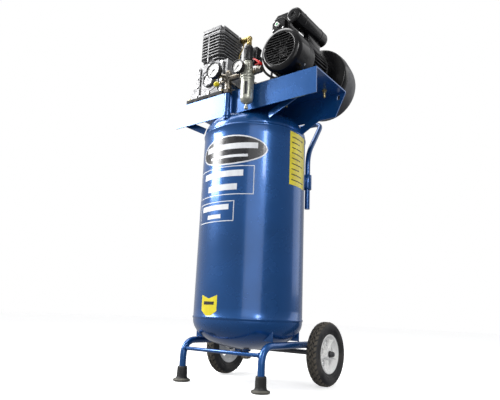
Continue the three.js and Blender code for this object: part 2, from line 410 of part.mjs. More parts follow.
// ---------------------------------------------------------------- belt drive
{
  // outline of a belt of radius a round the flywheel and b round the pulley
  const hull = (a, b) => {
    const dx = MOT.x - PX, dz = MOT.z - ZC, L = Math.hypot(dx, dz), t = Math.atan2(dz, dx), q = Math.acos((a - b) / L);
    return [...ring(PX, ZC, a, 16, t + q, t + 2 * Math.PI - q, true), ...ring(MOT.x, MOT.z, b, 8, t - q, t + q, true)];
  };
  const g = GAP + 0.3;
  put('v_belt', slabXZ(hull(FLY_GROOVE + g + BELT_T, PUL_GROOVE + g + BELT_T), BELT_Y - BELT_W / 2, BELT_Y + BELT_W / 2, [hull(FLY_GROOVE + g, PUL_GROOVE + g)]), RUBBER);

  // guard outlines: a round end over each pulley with a lower bridge between
  const out = (ra, rb, zt, zb, dxb = 0, dzb = 0) => {
    const bx = 213 + dxb, bz = 1074 + dzb, at = Math.asin(Math.min(0.95, (zt - ZC) / ra)), ab = Math.asin(Math.min(0.95, (ZC - zb) / ra));
    const bt = Math.asin(Math.min(0.95, (zt - bz) / rb)), bb = Math.asin(Math.min(0.95, (bz - zb) / rb));
    return [...ring(PX, ZC, ra, 11, at, 2 * Math.PI - ab, true), ...ring(bx, bz, rb, 12, -Math.PI + bb, Math.PI - bt, true)];
  };
  const { y0, seam, y1, t } = GUARD;
  const inO = loft([{ y: y0, pts: out(84, 114, 1126, 1008) }, { y: y0 + 3, pts: out(88, 117, 1129, 1000) }, { y: seam, pts: out(92, 119, 1147, 990) }]);
  const inI = loft([{ y: y0 + t, pts: out(84, 112, 1125, 1004) }, { y: y0 + 6, pts: out(85.5, 114, 1127, 1002.5) }, { y: seam + 8, pts: out(90, 116.4, 1146.5, 992) }]);
  put('belt_guard_inner', cut(union(inO, box(20, 64, 12, 74, DECK.z + GAP, DECK.z + GAP + 4), box(20, 64, 70, y0 + 2, DECK.z + GAP, 1046)), inI, rod('y', 14, 60, 90, [PX, ZC], 18), rod('y', 22, 60, 90, [MOT.x, MOT.z], 18)), BLACK);
  const ouO = loft([{ y: seam + GAP, pts: out(92, 119, 1147.2, 990) }, { y: 112, pts: out(93, 119, 1152, 988) }, { y: 150, pts: out(93, 119, 1156, 986, -3, -6) }, { y: 172, pts: out(90, 116, 1153, 989, -4, -10) }, { y: y1, pts: out(80, 106, 1142, 998, -4, -10) }]);
  const ouI = loft([{ y: seam - 4, pts: out(89, 116, 1144.2, 993) }, { y: 112, pts: out(90, 116, 1149, 991) }, { y: 150, pts: out(90, 116, 1153, 989, -3, -6) }, { y: 170, pts: out(87, 113, 1150, 992, -4, -10) }, { y: y1 - t, pts: out(78, 104, 1140, 1000, -4, -10) }]);
  put('belt_guard_outer', cut(ouO, ouI), GREY);
}

// ---------------------------------------------------------------- discharge line
{
  const z = PUMP.deck + 14, x1 = PX + BLOCK.w / 2;
  const el = union(rod('x', 7.4, x1 - 20, x1 + 2, [CHECK.y, z], 14), hex('x', 21, x1 - 0.4, x1 + 12, [CHECK.y, z]), rod('x', 10, x1 + 10, CHECK.x, [CHECK.y, z], 14),
    solid(new THREE.SphereGeometry(11.5, 10, 6).translate(CHECK.x, CHECK.y, z)), rod('z', 9.5, z - 20, z, [CHECK.x, CHECK.y], 14), hex('z', 20, z - 32, z - 18, [CHECK.x, CHECK.y]));
  const pipe = rod('z', 5.8, 968, z - 16, [CHECK.x, CHECK.y], 12);
  const chk = union(rod('z', 7.6, 944, 953, [CHECK.x, CHECK.y], 12), hex('z', 24, 951.6, 962, [CHECK.x, CHECK.y]), rod('z', 9, 960, 974, [CHECK.x, CHECK.y], 14))
    .subtract(rod('z', 6.2, 964, 980, [CHECK.x, CHECK.y], 12));
  put('check_valve', chk, BRASS);
  const fx = -62, fy = -44, fz = PUMP.top - GAP + GAP;
  // the thin unloader line joins the elbow to a fitting on the crankcase
  const line = union(tube([[fx, fy, fz + 12], [fx, fy, fz + 30], [-66, -36, 1205], [-60, -26, 1236], [-57.5, CHECK.y, z - 6]], 2.4, { smooth: true, sides: 6, steps: 10 }), hex('z', 10, fz, fz + 14, [fx, fy]));
  put('discharge_pipe', cut(union(el, pipe, line), rod('z', 4, 960, z + 3, [CHECK.x, CHECK.y], 10), rod('x', 4, x1 - 24, CHECK.x, [CHECK.y, z], 10)), BRASS);
}

// ---------------------------------------------------------------- air fittings
{
  put('riser_pipe', cut(union(rod('z', RISER.r, 872, 966, [RISER.x, RISER.y], 18), rod('z', RISER.r + 2.6, 880, 898, [RISER.x, RISER.y], 18)), tankGrown,
    rod('z', 8, 900, 970, [RISER.x, RISER.y], 14), box(-40, 50, DECK.y0 - GAP, -100, 860, 990)), BLUE);
  const p = [RISER.x, RISER.y];
  const arm = (a, b, r) => {
    const A = new THREE.Vector3(...a), B = new THREE.Vector3(...b), L = A.distanceTo(B), g = new THREE.CylinderGeometry(r, r, L, 14);
    g.applyQuaternion(new THREE.Quaternion().setFromUnitVectors(new THREE.Vector3(0, 1, 0), B.clone().sub(A).normalize()));
    g.translate((A.x + B.x) / 2, (A.y + B.y) / 2, (A.z + B.z) / 2);
    return solid(g);
  };
  // safety valve at the back of the manifold, with its pull ring
  const sy = -160;
  const safety = cut(union(hex('y', 17, sy, sy + 10, [RISER.x + 6, 1004]), rod('y', 7.5, sy + 9, sy + 34, [RISER.x + 6, 1004], 14)), rod('y', 3, sy + 20, sy + 40, [RISER.x + 6, 1004], 10));
  const man = union(hex('z', 27, 966 + GAP, 981, p), rod('z', 12, 980, 1042, p, 18), solid(new THREE.SphereGeometry(12.6, 10, 6).translate(p[0], p[1], 1042)),
    arm([p[0], p[1], 1030], [GAUGE1.x, -186, GAUGE1.z - 4], 7), rod('y', 8, -195, -180, [GAUGE1.x, GAUGE1.z - 4], 14),
    rod('x', 10, p[0], 52, [-178, 1022], 16), hex('x', 18, 50, 60, [-178, 1022]), rod('x', 6.2, 60, 73, [-178, 1022], 12),
    rod('x', 8, -20, p[0], [-180, 1016], 14), rod('x', 5.5, -32, -18, [-180, 1016], 12),
    rod('y', 8, RISER.y, -158, [RISER.x + 6, 1004], 14), safety,
    rod('z', 6.5, 1030, SWITCH.z0 - GAP, [76, -160], 12), arm([46, -176, 1024], [76, -160, 1034], 7));
  put('manifold', man, NICKEL);
  const ringG = new THREE.TorusGeometry(9, 1.6, 6, 14);
  ringG.rotateY(Math.PI / 2); ringG.translate(RISER.x + 6, sy + 50, 1004);
  put('safety_ring', union(rod('y', 2.4, sy + 22, sy + 42, [RISER.x + 6, 1004], 10), solid(ringG)), STEEL);
  // gauges: case with a rim and a face set back inside it
  for (const [nm, G, st] of [['tank_gauge', GAUGE1, -195 - GAP], ['outlet_gauge', GAUGE2, -199 - GAP]]) {
    const c = [G.x, G.z], y = G.y, stc = nm === 'tank_gauge' ? [G.x, G.z - 4] : c;
    const gs = union(lathe('y', [[0, y + 5], [G.r - 2.5, y + 5], [G.r - 2, y], [G.r, y + 1.5], [G.r, y + G.d - 3], [G.r - 4, y + G.d], [0, y + G.d]], c, 30), rod('y', 5.5, y + G.d - 1, st, stc, 12));
    put(nm, gs, BLACK);
    const n = union(rod('y', 2.4, y + 2.4, y + 4.6, c, 10), box(G.x - 0.9, G.x + 0.9, y + 3, y + 4.2, G.z - 6, G.z + G.r * 0.68).rotate([0, 0, 0]));
    // at rest the needle points to zero, down and to the left
    const a = -135;
    put(nm + '_needle', n.translate([-G.x, 0, -G.z]).rotate([0, a, 0]).translate([G.x, 0, G.z]), RED);
  }
  // pressure switch: a tapered cover on a base
  const S = SWITCH;
  put('pressure_switch', cut(union(loftZ(S)), rod('x', 5.4, S.x1 - 12, S.x1 + 6, [-150, 1080], 12), rod('z', 4.4, S.z1 - 8, S.z1 + 3, [82, -152], 12)), BLACK);
  put('switch_knob', union(rod('z', 4, S.z1 - 6, S.z1 + 3, [82, -152], 12), rod('z', 8, S.z1 + 1, S.z1 + 9, [82, -152], 16)), RED);
  function loftZ(q) {
    const r = (i, z) => { const a = rrect(q.x0 + i, q.x1 - i, q.y0 + i * 0.6, q.y1 - i * 0.6, 6, 2); return a.map(p => [p[0], p[1], z]); };
    const rings = [r(9, q.z0), r(9, q.z0 + 12), r(7, q.z0 + 12.5), r(0, q.z1 - 3), r(3, q.z1)], n = rings[0].length, pos = rings.flat(2), tri = [];
    for (let k = 0; k < rings.length - 1; k++) for (let i = 0; i < n; i++) { const j = (i + 1) % n, a = k * n + i, b = k * n + j, c = (k + 1) * n + j, d = (k + 1) * n + i; tri.push(a, b, c, a, c, d); }
    for (let i = 1; i < n - 1; i++) { tri.push(0, i + 1, i); const o = (rings.length - 1) * n; tri.push(o, o + i, o + i + 1); }
    const g = new THREE.BufferGeometry();
    g.setAttribute('position', new THREE.BufferAttribute(new Float32Array(pos), 3)); g.setIndex(tri);
    return solid(g);
  }
  // yellow cock knob on the manifold's left arm
  put('cock_knob', cut(union(lathe('x', [[0, -58], [5, -57], [9, -53], [9.6, -48], [8.6, -42], [6, -36], [0, -36]], [-180, 1016], 16), box(-52, -42, -190.5, -169.5, 1012.5, 1019.5)), rod('x', 5.9, -40, -30, [-180, 1016], 12)), YELLOW);
  // filter-regulator
  const f = [FILT.x, FILT.y];
  put('regulator_body', cut(union(rod('z', 17, 1002, 1056, f, 24), rod('z', 24, 995, 1003.6, f, 24), box(73.6, 97, -198.6, -176, 1014, 1044), rod('x', 10, 97, 118, [VALVE.y, VALVE.z], 14)),
    rod('x', 6.6, 60, 80, [-178, 1022], 12), rod('z', 7, 1046, 1060, f, 16), rod('z', 12, 990, 1003, f, 16)), OLIVE);
  {
    const kn = [], n = 10;
    for (let i = 0; i < n; i++) for (const [q, rr] of [[0, 16.2], [0.5, 16.2], [0.62, 14.9], [0.88, 14.9]]) { const a = 2 * Math.PI * (i + q) / n; kn.push(new THREE.Vector2(rr * Math.cos(a), rr * Math.sin(a))); }
    const g = new THREE.ExtrudeGeometry(new THREE.Shape(kn), { depth: 50, bevelEnabled: false });
    g.translate(f[0], f[1], 1058);
    put('regulator_knob', union(solid(g), rod('z', 14, 1107, 1115, f, 20), rod('z', 6.4, 1049, 1060, f, 14)), BLACK);
  }
  put('filter_bowl', union(lathe('z', [[0, 903], [8, 903], [17, 908], [21.6, 916], [22.4, 924], [22.4, 994.6], [18.5, 994.6], [18.5, 924], [13, 914], [0, 912]], f, 24),
    rod('z', 4.5, 890, 905, f, 12), rod('z', 7, 884, 893, f, 14)), OLIVE);
  // outlet ball valve, open, with its red lever along the bore
  const v = [VALVE.y, VALVE.z];
  put('ball_valve', cut(union(hex('x', 20, 118 + GAP, 127, v), rod('x', 10.5, 126, 144, v, 18), hex('x', 20, 143, 148, v), rod('x', 10, 147, 153, v, 16), rod('z', 5, VALVE.z, 1034, [VALVE.x, VALVE.y], 12)),
    rod('x', 6, 144, 170, v, 14)), BRASS);
  put('valve_lever', cut(union(slabXZ([[127, 1034.6], [147, 1034.6], [149, 1037], [148, 1044], [124, 1062], [118.4, 1062], [118.4, 1056], [139, 1040], [140, 1038], [127, 1038]], VALVE.y - 8, VALVE.y + 8)),
    rod('z', 2.6, 1037, 1039, [VALVE.x, VALVE.y], 10)), RED);
  // motor lead: pressure switch to terminal box, along the deck's edge and up the motor's side
  put('motor_lead', tube([[SWITCH.x1 - 9, -150, 1080], [SWITCH.x1 + 4, -150, 1079], [126, -151, 1060], [138, -152, 1030], [158, -152, 1006], [180, -147, 992], [182, -136, 988.5],
    [165, -127, 988], [132, -125, 988], [118, -112, 991], [114, -88, 1005], [117, -78, 1040], [121, -74, 1120], [123, -72, 1168], [134, -72, 1180], [150, -72, 1180]], 4, { smooth: true, sides: 8, steps: 26 }), RUBBER);
}

// the origin is on the ground under the middle of the object's box
const bb = new THREE.Box3().setFromObject(group);
group.position.set(-(bb.min.x + bb.max.x) / 2, -(bb.min.y + bb.max.y) / 2, -bb.min.z);
group.updateMatrixWorld(true);

export default group;
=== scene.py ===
import bpy
import bmesh
import math
from mathutils import Vector, Matrix

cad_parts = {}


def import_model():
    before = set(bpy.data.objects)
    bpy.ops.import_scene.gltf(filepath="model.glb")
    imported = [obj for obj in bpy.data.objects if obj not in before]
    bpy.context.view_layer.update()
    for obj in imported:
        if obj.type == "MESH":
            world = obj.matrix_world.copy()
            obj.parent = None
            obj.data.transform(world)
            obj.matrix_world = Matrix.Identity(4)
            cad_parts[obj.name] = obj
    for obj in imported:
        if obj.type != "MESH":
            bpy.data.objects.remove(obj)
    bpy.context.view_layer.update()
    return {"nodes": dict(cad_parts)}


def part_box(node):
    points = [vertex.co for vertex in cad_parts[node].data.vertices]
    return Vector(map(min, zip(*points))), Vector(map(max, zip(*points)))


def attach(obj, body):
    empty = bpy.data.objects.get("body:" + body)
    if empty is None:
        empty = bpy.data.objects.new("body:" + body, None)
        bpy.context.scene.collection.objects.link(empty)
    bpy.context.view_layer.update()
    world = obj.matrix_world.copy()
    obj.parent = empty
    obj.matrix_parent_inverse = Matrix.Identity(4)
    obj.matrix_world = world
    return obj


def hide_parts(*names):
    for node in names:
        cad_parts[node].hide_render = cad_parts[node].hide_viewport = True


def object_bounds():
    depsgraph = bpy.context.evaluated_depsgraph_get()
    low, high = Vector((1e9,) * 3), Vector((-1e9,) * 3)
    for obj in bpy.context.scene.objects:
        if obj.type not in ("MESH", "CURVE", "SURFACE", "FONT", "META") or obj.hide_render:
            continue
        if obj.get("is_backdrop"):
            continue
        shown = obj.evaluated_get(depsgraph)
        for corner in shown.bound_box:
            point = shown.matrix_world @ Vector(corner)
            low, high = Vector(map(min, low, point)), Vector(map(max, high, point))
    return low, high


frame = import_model()
lo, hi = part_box("axle")
OX, OY = (lo.x + hi.x) / 2, (lo.y + hi.y) / 2 - 0.161     # the tank's axis in the row frame
S = 0.001
PI = math.pi
scene = bpy.context.scene


def W(p):
    return Vector((p[0] * S + OX, p[1] * S + OY, p[2] * S))


# ------------------------------------------------------------------ camera
YAW, PITCH, ROLL, FPX = math.radians(37.004), math.radians(13.3705), math.radians(2.4792), 483.72
Fv = Vector((-math.sin(YAW) * math.cos(PITCH), math.cos(YAW) * math.cos(PITCH), math.sin(PITCH)))
Rv = Vector((math.cos(YAW), math.sin(YAW), 0))
Uv = Rv.cross(Fv)
R2 = math.cos(ROLL) * Rv + math.sin(ROLL) * Uv
U2 = -math.sin(ROLL) * Rv + math.cos(ROLL) * Uv
cam = bpy.data.cameras.new("cam")
cam.sensor_fit = "HORIZONTAL"
cam.sensor_width = 36
cam.lens = 36 * FPX / 500
cam.clip_end = 100
co = bpy.data.objects.new("cam", cam)
scene.collection.objects.link(co)
co.matrix_world = Matrix.Translation(W((1015.7, -1363.2, 220.5))) @ Matrix((R2, U2, -Fv)).transposed().to_4x4()
scene.camera = co


# ------------------------------------------------------------------ materials
def mk(name, col, rough, metal=0.0, col2=None, vs=9.0, rv=0.08, rs=70.0, bump=0.05, bs=400.0, bd=0.0004,
       coat=0.0, coat_r=0.1, spec=0.5, dust=None, dust_s=5.0, dust_lo=0.5, dust_hi=0.75, streak=None, flake=0.0, scr=0.0, emit=0.0):
    m = bpy.data.materials.new(name)
    m.use_nodes = True
    nt = m.node_tree
    nt.nodes.clear()
    N, L = nt.nodes.new, nt.links.new
    out = N("ShaderNodeOutputMaterial")
    b = N("ShaderNodeBsdfPrincipled")
    L(b.outputs[0], out.inputs[0])
    b.inputs["Metallic"].default_value = metal
    b.inputs["Coat Weight"].default_value = coat
    b.inputs["Coat Roughness"].default_value = coat_r
    b.inputs["Specular IOR Level"].default_value = spec
    tc = N("ShaderNodeTexCoord")
    src = tc.outputs["Object"]
    if streak:
        mp = N("ShaderNodeMapping")
        mp.inputs["Scale"].default_value = streak
        L(src, mp.inputs["Vector"])
        ssrc = mp.outputs[0]
    else:
        ssrc = src

    def noise(scale, detail, vec):
        n = N("ShaderNodeTexNoise")
        n.inputs["Scale"].default_value = scale
        n.inputs["Detail"].default_value = detail
        L(vec, n.inputs["Vector"])
        return n.outputs["Fac"]
    if col2 is None:
        col2 = [min(1, c * 1.22 + 0.004) for c in col]
    ramp = N("ShaderNodeValToRGB")
    ramp.color_ramp.elements[0].position = 0.34
    ramp.color_ramp.elements[1].position = 0.66
    ramp.color_ramp.elements[0].color = (*[c * 0.86 for c in col], 1)
    ramp.color_ramp.elements[1].color = (*col2, 1)
    L(noise(vs, 5, ssrc), ramp.inputs[0])
    colour = ramp.outputs[0]
    if flake:
        v = N("ShaderNodeTexVoronoi")
        v.inputs["Scale"].default_value = 1800
        L(src, v.inputs["Vector"])
        mr = N("ShaderNodeMapRange")
        mr.inputs[3].default_value = 1 - flake
        mr.inputs[4].default_value = 1 + flake
        sx = N("ShaderNodeSeparateColor")
        L(v.outputs["Color"], sx.inputs[0])
        L(sx.outputs[0], mr.inputs[0])
        mx = N("ShaderNodeVectorMath")
        mx.operation = "SCALE"
        L(colour, mx.inputs[0])
        L(mr.outputs[0], mx.inputs[3])
        colour = mx.outputs[0]
    if dust:
        mr = N("ShaderNodeMapRange")
        mr.inputs[1].default_value = dust_lo
        mr.inputs[2].default_value = dust_hi
        L(noise(dust_s, 8, src), mr.inputs[0])
        mx = N("ShaderNodeMix")
        mx.data_type = "RGBA"
        L(mr.outputs[0], mx.inputs[0])
        L(colour, mx.inputs[6])
        mx.inputs[7].default_value = (*dust, 1)
        colour = mx.outputs[2]
    L(colour, b.inputs["Base Color"])
    if emit:
        b.inputs["Emission Color"].default_value = (1, 1, 1, 1)
        b.inputs["Emission Strength"].default_value = emit
    mr = N("ShaderNodeMapRange")
    mr.inputs[1].default_value = 0.3
    mr.inputs[2].default_value = 0.7
    mr.inputs[3].default_value = max(0.03, rough - rv)
    mr.inputs[4].default_value = min(1, rough + rv)
    L(noise(rs, 6, ssrc), mr.inputs[0])
    L(mr.outputs[0], b.inputs["Roughness"])
    if bump:
        bp = N("ShaderNodeBump")
        bp.inputs["Strength"].default_value = bump
        bp.inputs["Distance"].default_value = bd
        h = noise(bs, 4, ssrc)
        if scr:
            ad = N("ShaderNodeMath")
            ad.operation = "ADD"
            L(h, ad.inputs[0])
            L(noise(scr, 2, src), ad.inputs[1])
            h = ad.outputs[0]
        L(h, bp.inputs["Height"])
        L(bp.outputs[0], b.inputs["Normal"])
    return m


BLUE = mk("blue_metallic_paint", (0.010, 0.088, 0.295), 0.26, 0.5, col2=(0.013, 0.105, 0.355), vs=3, rv=0.03, rs=18, bump=0.035, bs=240, bd=0.0002, coat=0.6, coat_r=0.10, flake=0.08)
# tyre tread colour, lighter than the sidewall rubber: partly worn rubber, partly painted light where the front-left
# lamp falls on the tread
TREAD_WORN_LIT = mk("tyre_tread_worn_and_painted_light", (0.105, 0.092, 0.072), 0.78, 0, col2=(0.15, 0.132, 0.105), vs=60, rv=0.1, bump=0.35, bs=900, bd=0.0004, dust=(0.05, 0.046, 0.04), dust_s=60, dust_lo=0.5, dust_hi=0.8)
SOLE = mk("worn_rubber", (0.075, 0.072, 0.06), 0.6, 0, col2=(0.12, 0.115, 0.095), vs=60, rv=0.1, bump=0.3, bs=900, bd=0.0003, dust=(0.2, 0.19, 0.16), dust_s=70, dust_lo=0.55, dust_hi=0.85)
SIDE = mk("tyre_sidewall", (0.022, 0.022, 0.023), 0.62, 0, vs=24, rv=0.1, bump=0.2, bs=700, bd=0.0003, dust=(0.085, 0.078, 0.07), dust_s=12, dust_lo=0.5, dust_hi=0.85)
RUBBER = mk("black_rubber", (0.012, 0.012, 0.013), 0.58, 0, vs=40, rv=0.12, bump=0.25, bs=900, bd=0.0003, dust=(0.06, 0.056, 0.05), dust_s=40, dust_lo=0.6, dust_hi=0.9)
WHITE = mk("rim_white_paint", (0.92, 0.92, 0.90), 0.36, 0, col2=(0.93, 0.93, 0.91), vs=18, bump=0.12, bs=350, bd=0.0003, dust=(0.45, 0.41, 0.35), dust_s=20, dust_lo=0.62, dust_hi=0.95, coat=0.2)
BLACK = mk("black_gloss_paint", (0.003, 0.003, 0.0035), 0.20, 0, col2=(0.006, 0.006, 0.007), vs=20, rv=0.05, bump=0.05, bs=320, bd=0.0003, coat=0.15, coat_r=0.07, spec=0.35)
PLATE = mk("plate_black", (0.006, 0.006, 0.006), 0.62, 0, col2=(0.012, 0.012, 0.012), vs=30, bump=0.2, bs=500, bd=0.0003, spec=0.2, dust=(0.04, 0.038, 0.035), dust_s=30, dust_lo=0.6, dust_hi=0.95)
MGREY = mk("motor_grey_paint", (0.007, 0.007, 0.008), 0.38, 0.0, col2=(0.012, 0.012, 0.014), vs=25, rv=0.1, bump=0.3, bs=600, bd=0.0004, dust=(0.03, 0.03, 0.03), dust_s=35, dust_lo=0.62, dust_hi=0.95)
ALU = mk("cast_aluminium", (0.15, 0.15, 0.153), 0.46, 0.45, col2=(0.23, 0.23, 0.235), vs=60, rv=0.12, rs=140, bump=0.5, bs=800, bd=0.0005, dust=(0.07, 0.067, 0.06), dust_s=45, dust_lo=0.55, dust_hi=0.9)
STEEL = mk("bright_steel", (0.55, 0.55, 0.55), 0.27, 1, vs=50, rv=0.1, bump=0.15, bs=900, bd=0.0002, streak=(1, 1, 8))
IRON = mk("dark_iron", (0.10, 0.10, 0.105), 0.48, 0.7, vs=40, bump=0.35, bs=700, bd=0.0004, dust=(0.12, 0.075, 0.05), dust_s=40, dust_lo=0.65, dust_hi=0.95)
BRASS = mk("brass", (0.42, 0.31, 0.11), 0.28, 1, col2=(0.56, 0.44, 0.19), vs=60, rv=0.1, bump=0.15, bs=900, bd=0.0002, dust=(0.30, 0.17, 0.06), dust_s=90, dust_lo=0.6, dust_hi=0.95)
CHROME = mk("nickel_plate", (0.62, 0.61, 0.58), 0.17, 1, col2=(0.72, 0.71, 0.68), vs=50, rv=0.07, bump=0.1, bs=700, bd=0.0002)
ZINC = mk("yellow_zinc", (0.60, 0.47, 0.20), 0.33, 0.9, col2=(0.66, 0.58, 0.36), vs=120, rv=0.1, bump=0.15, bs=900, bd=0.0002)
BPLAS = mk("black_plastic", (0.011, 0.011, 0.012), 0.40, 0, vs=60, rv=0.08, bump=0.3, bs=1200, bd=0.0002)
GPLAS = mk("grey_moulded_plastic", (0.040, 0.042, 0.050), 0.42, 0, col2=(0.052, 0.055, 0.064), vs=16, rv=0.08, bump=0.3, bs=1100, bd=0.0002, dust=(0.075, 0.076, 0.08), dust_s=14, dust_lo=0.6, dust_hi=0.95)
WPLAS = mk("white_plastic", (0.78, 0.78, 0.76), 0.35, 0, col2=(0.84, 0.84, 0.82), vs=50, bump=0.1, bs=900, bd=0.0002)
RED = mk("red_enamel", (0.50, 0.012, 0.010), 0.30, 0, vs=70, bump=0.12, bs=600, bd=0.0002, coat=0.3)
YEL = mk("yellow_plastic", (0.82, 0.68, 0.02), 0.34, 0, vs=70, bump=0.12, bs=700, bd=0.0002)
OLIVE = mk("olive_cast_metal", (0.36, 0.37, 0.31), 0.32, 0.55, col2=(0.48, 0.49, 0.42), vs=70, rv=0.1, bump=0.3, bs=900, bd=0.0003)
GREEN = mk("green_plastic", (0.02, 0.30, 0.09), 0.35, 0, vs=70, bump=0.1, bs=700, bd=0.0002)
INK = mk("dial_ink", (0.012, 0.012, 0.014), 0.5, 0, vs=80, bump=0.05)
DIAL = mk("dial_white", (0.80, 0.80, 0.78), 0.42, 0, col2=(0.84, 0.84, 0.82), vs=90, bump=0.05)
FILMW = mk("white_film", (0.76, 0.78, 0.82), 0.35, 0, col2=(0.82, 0.84, 0.87), vs=30, bump=0.06, coat=0.3)
FILMK = mk("black_film", (0.010, 0.010, 0.013), 0.30, 0, vs=30, bump=0.06, coat=0.3)
FILMY = mk("yellow_film", (0.80, 0.66, 0.02), 0.35, 0, col2=(0.86, 0.74, 0.03), vs=30, bump=0.06, coat=0.3)
DNICK = mk("dull_nickel", (0.20, 0.185, 0.165), 0.30, 0.9, col2=(0.34, 0.31, 0.26), vs=70, rv=0.1, bump=0.15, bs=900, bd=0.0002, dust=(0.26, 0.17, 0.07), dust_s=80, dust_lo=0.55, dust_hi=0.9)
GLASSY = mk("smoked_window", (0.010, 0.012, 0.014), 0.08, 0, vs=60, rv=0.03, bump=0.03, coat=0.6, coat_r=0.03)
SLOTMAT = dict(blue_paint=BLUE, tyre=TREAD_WORN_LIT, rubber=RUBBER, rim_white=WHITE, black_paint=BLACK, motor_grey=MGREY, cast_alu=ALU, steel=STEEL, iron=IRON, brass=BRASS,
               nickel=CHROME, zinc=ZINC, black_plastic=BPLAS, grey_plastic=GPLAS, white_plastic=WPLAS, red_plastic=RED, yellow_plastic=YEL, olive_metal=OLIVE)


# ------------------------------------------------------------------ mesh tools, millimetres about the tank's axis
def fillet(pts, r, n=4, closed=False):
    """rounds the corners of a polyline of 2D or 3D points"""
    P = [Vector(p) for p in pts]
    out = []
    k = len(P)
    for i in range(k):
        if not closed and i in (0, k - 1):
            out.append(P[i])
            continue
        p, a, b = P[i], P[i - 1] - P[i], P[(i + 1) % k] - P[i]
        rr = r[i] if isinstance(r, (list, tuple)) else r
        if rr <= 0 or a.length < 1e-6 or b.length < 1e-6 or abs(a.normalized().dot(b.normalized()) + 1) < 1e-4:
            out.append(p)
            continue
        f = min(rr, a.length * 0.46, b.length * 0.46)
        s, e = p + a.normalized() * f, p + b.normalized() * f
        for j in range(n + 1):
            t = j / n
            out.append(s * (1 - t) ** 2 + p * 2 * t * (1 - t) + e * t * t)
    return [tuple(v) for v in out]


def arc(cx, cz, r, n, a0=0.0, a1=2 * PI, end=False):
    return [(cx + r * math.cos(a0 + (a1 - a0) * i / n), cz + r * math.sin(a0 + (a1 - a0) * i / n)) for i in range(n + (1 if end else 0))]


def rrect(x0, x1, z0, z1, r, n=6):
    return (arc(x1 - r, z1 - r, r, n, 0, PI / 2, True) + arc(x0 + r, z1 - r, r, n, PI / 2, PI, True)
            + arc(x0 + r, z0 + r, r, n, PI, 1.5 * PI, True) + arc(x1 - r, z0 + r, r, n, 1.5 * PI, 2 * PI, True))


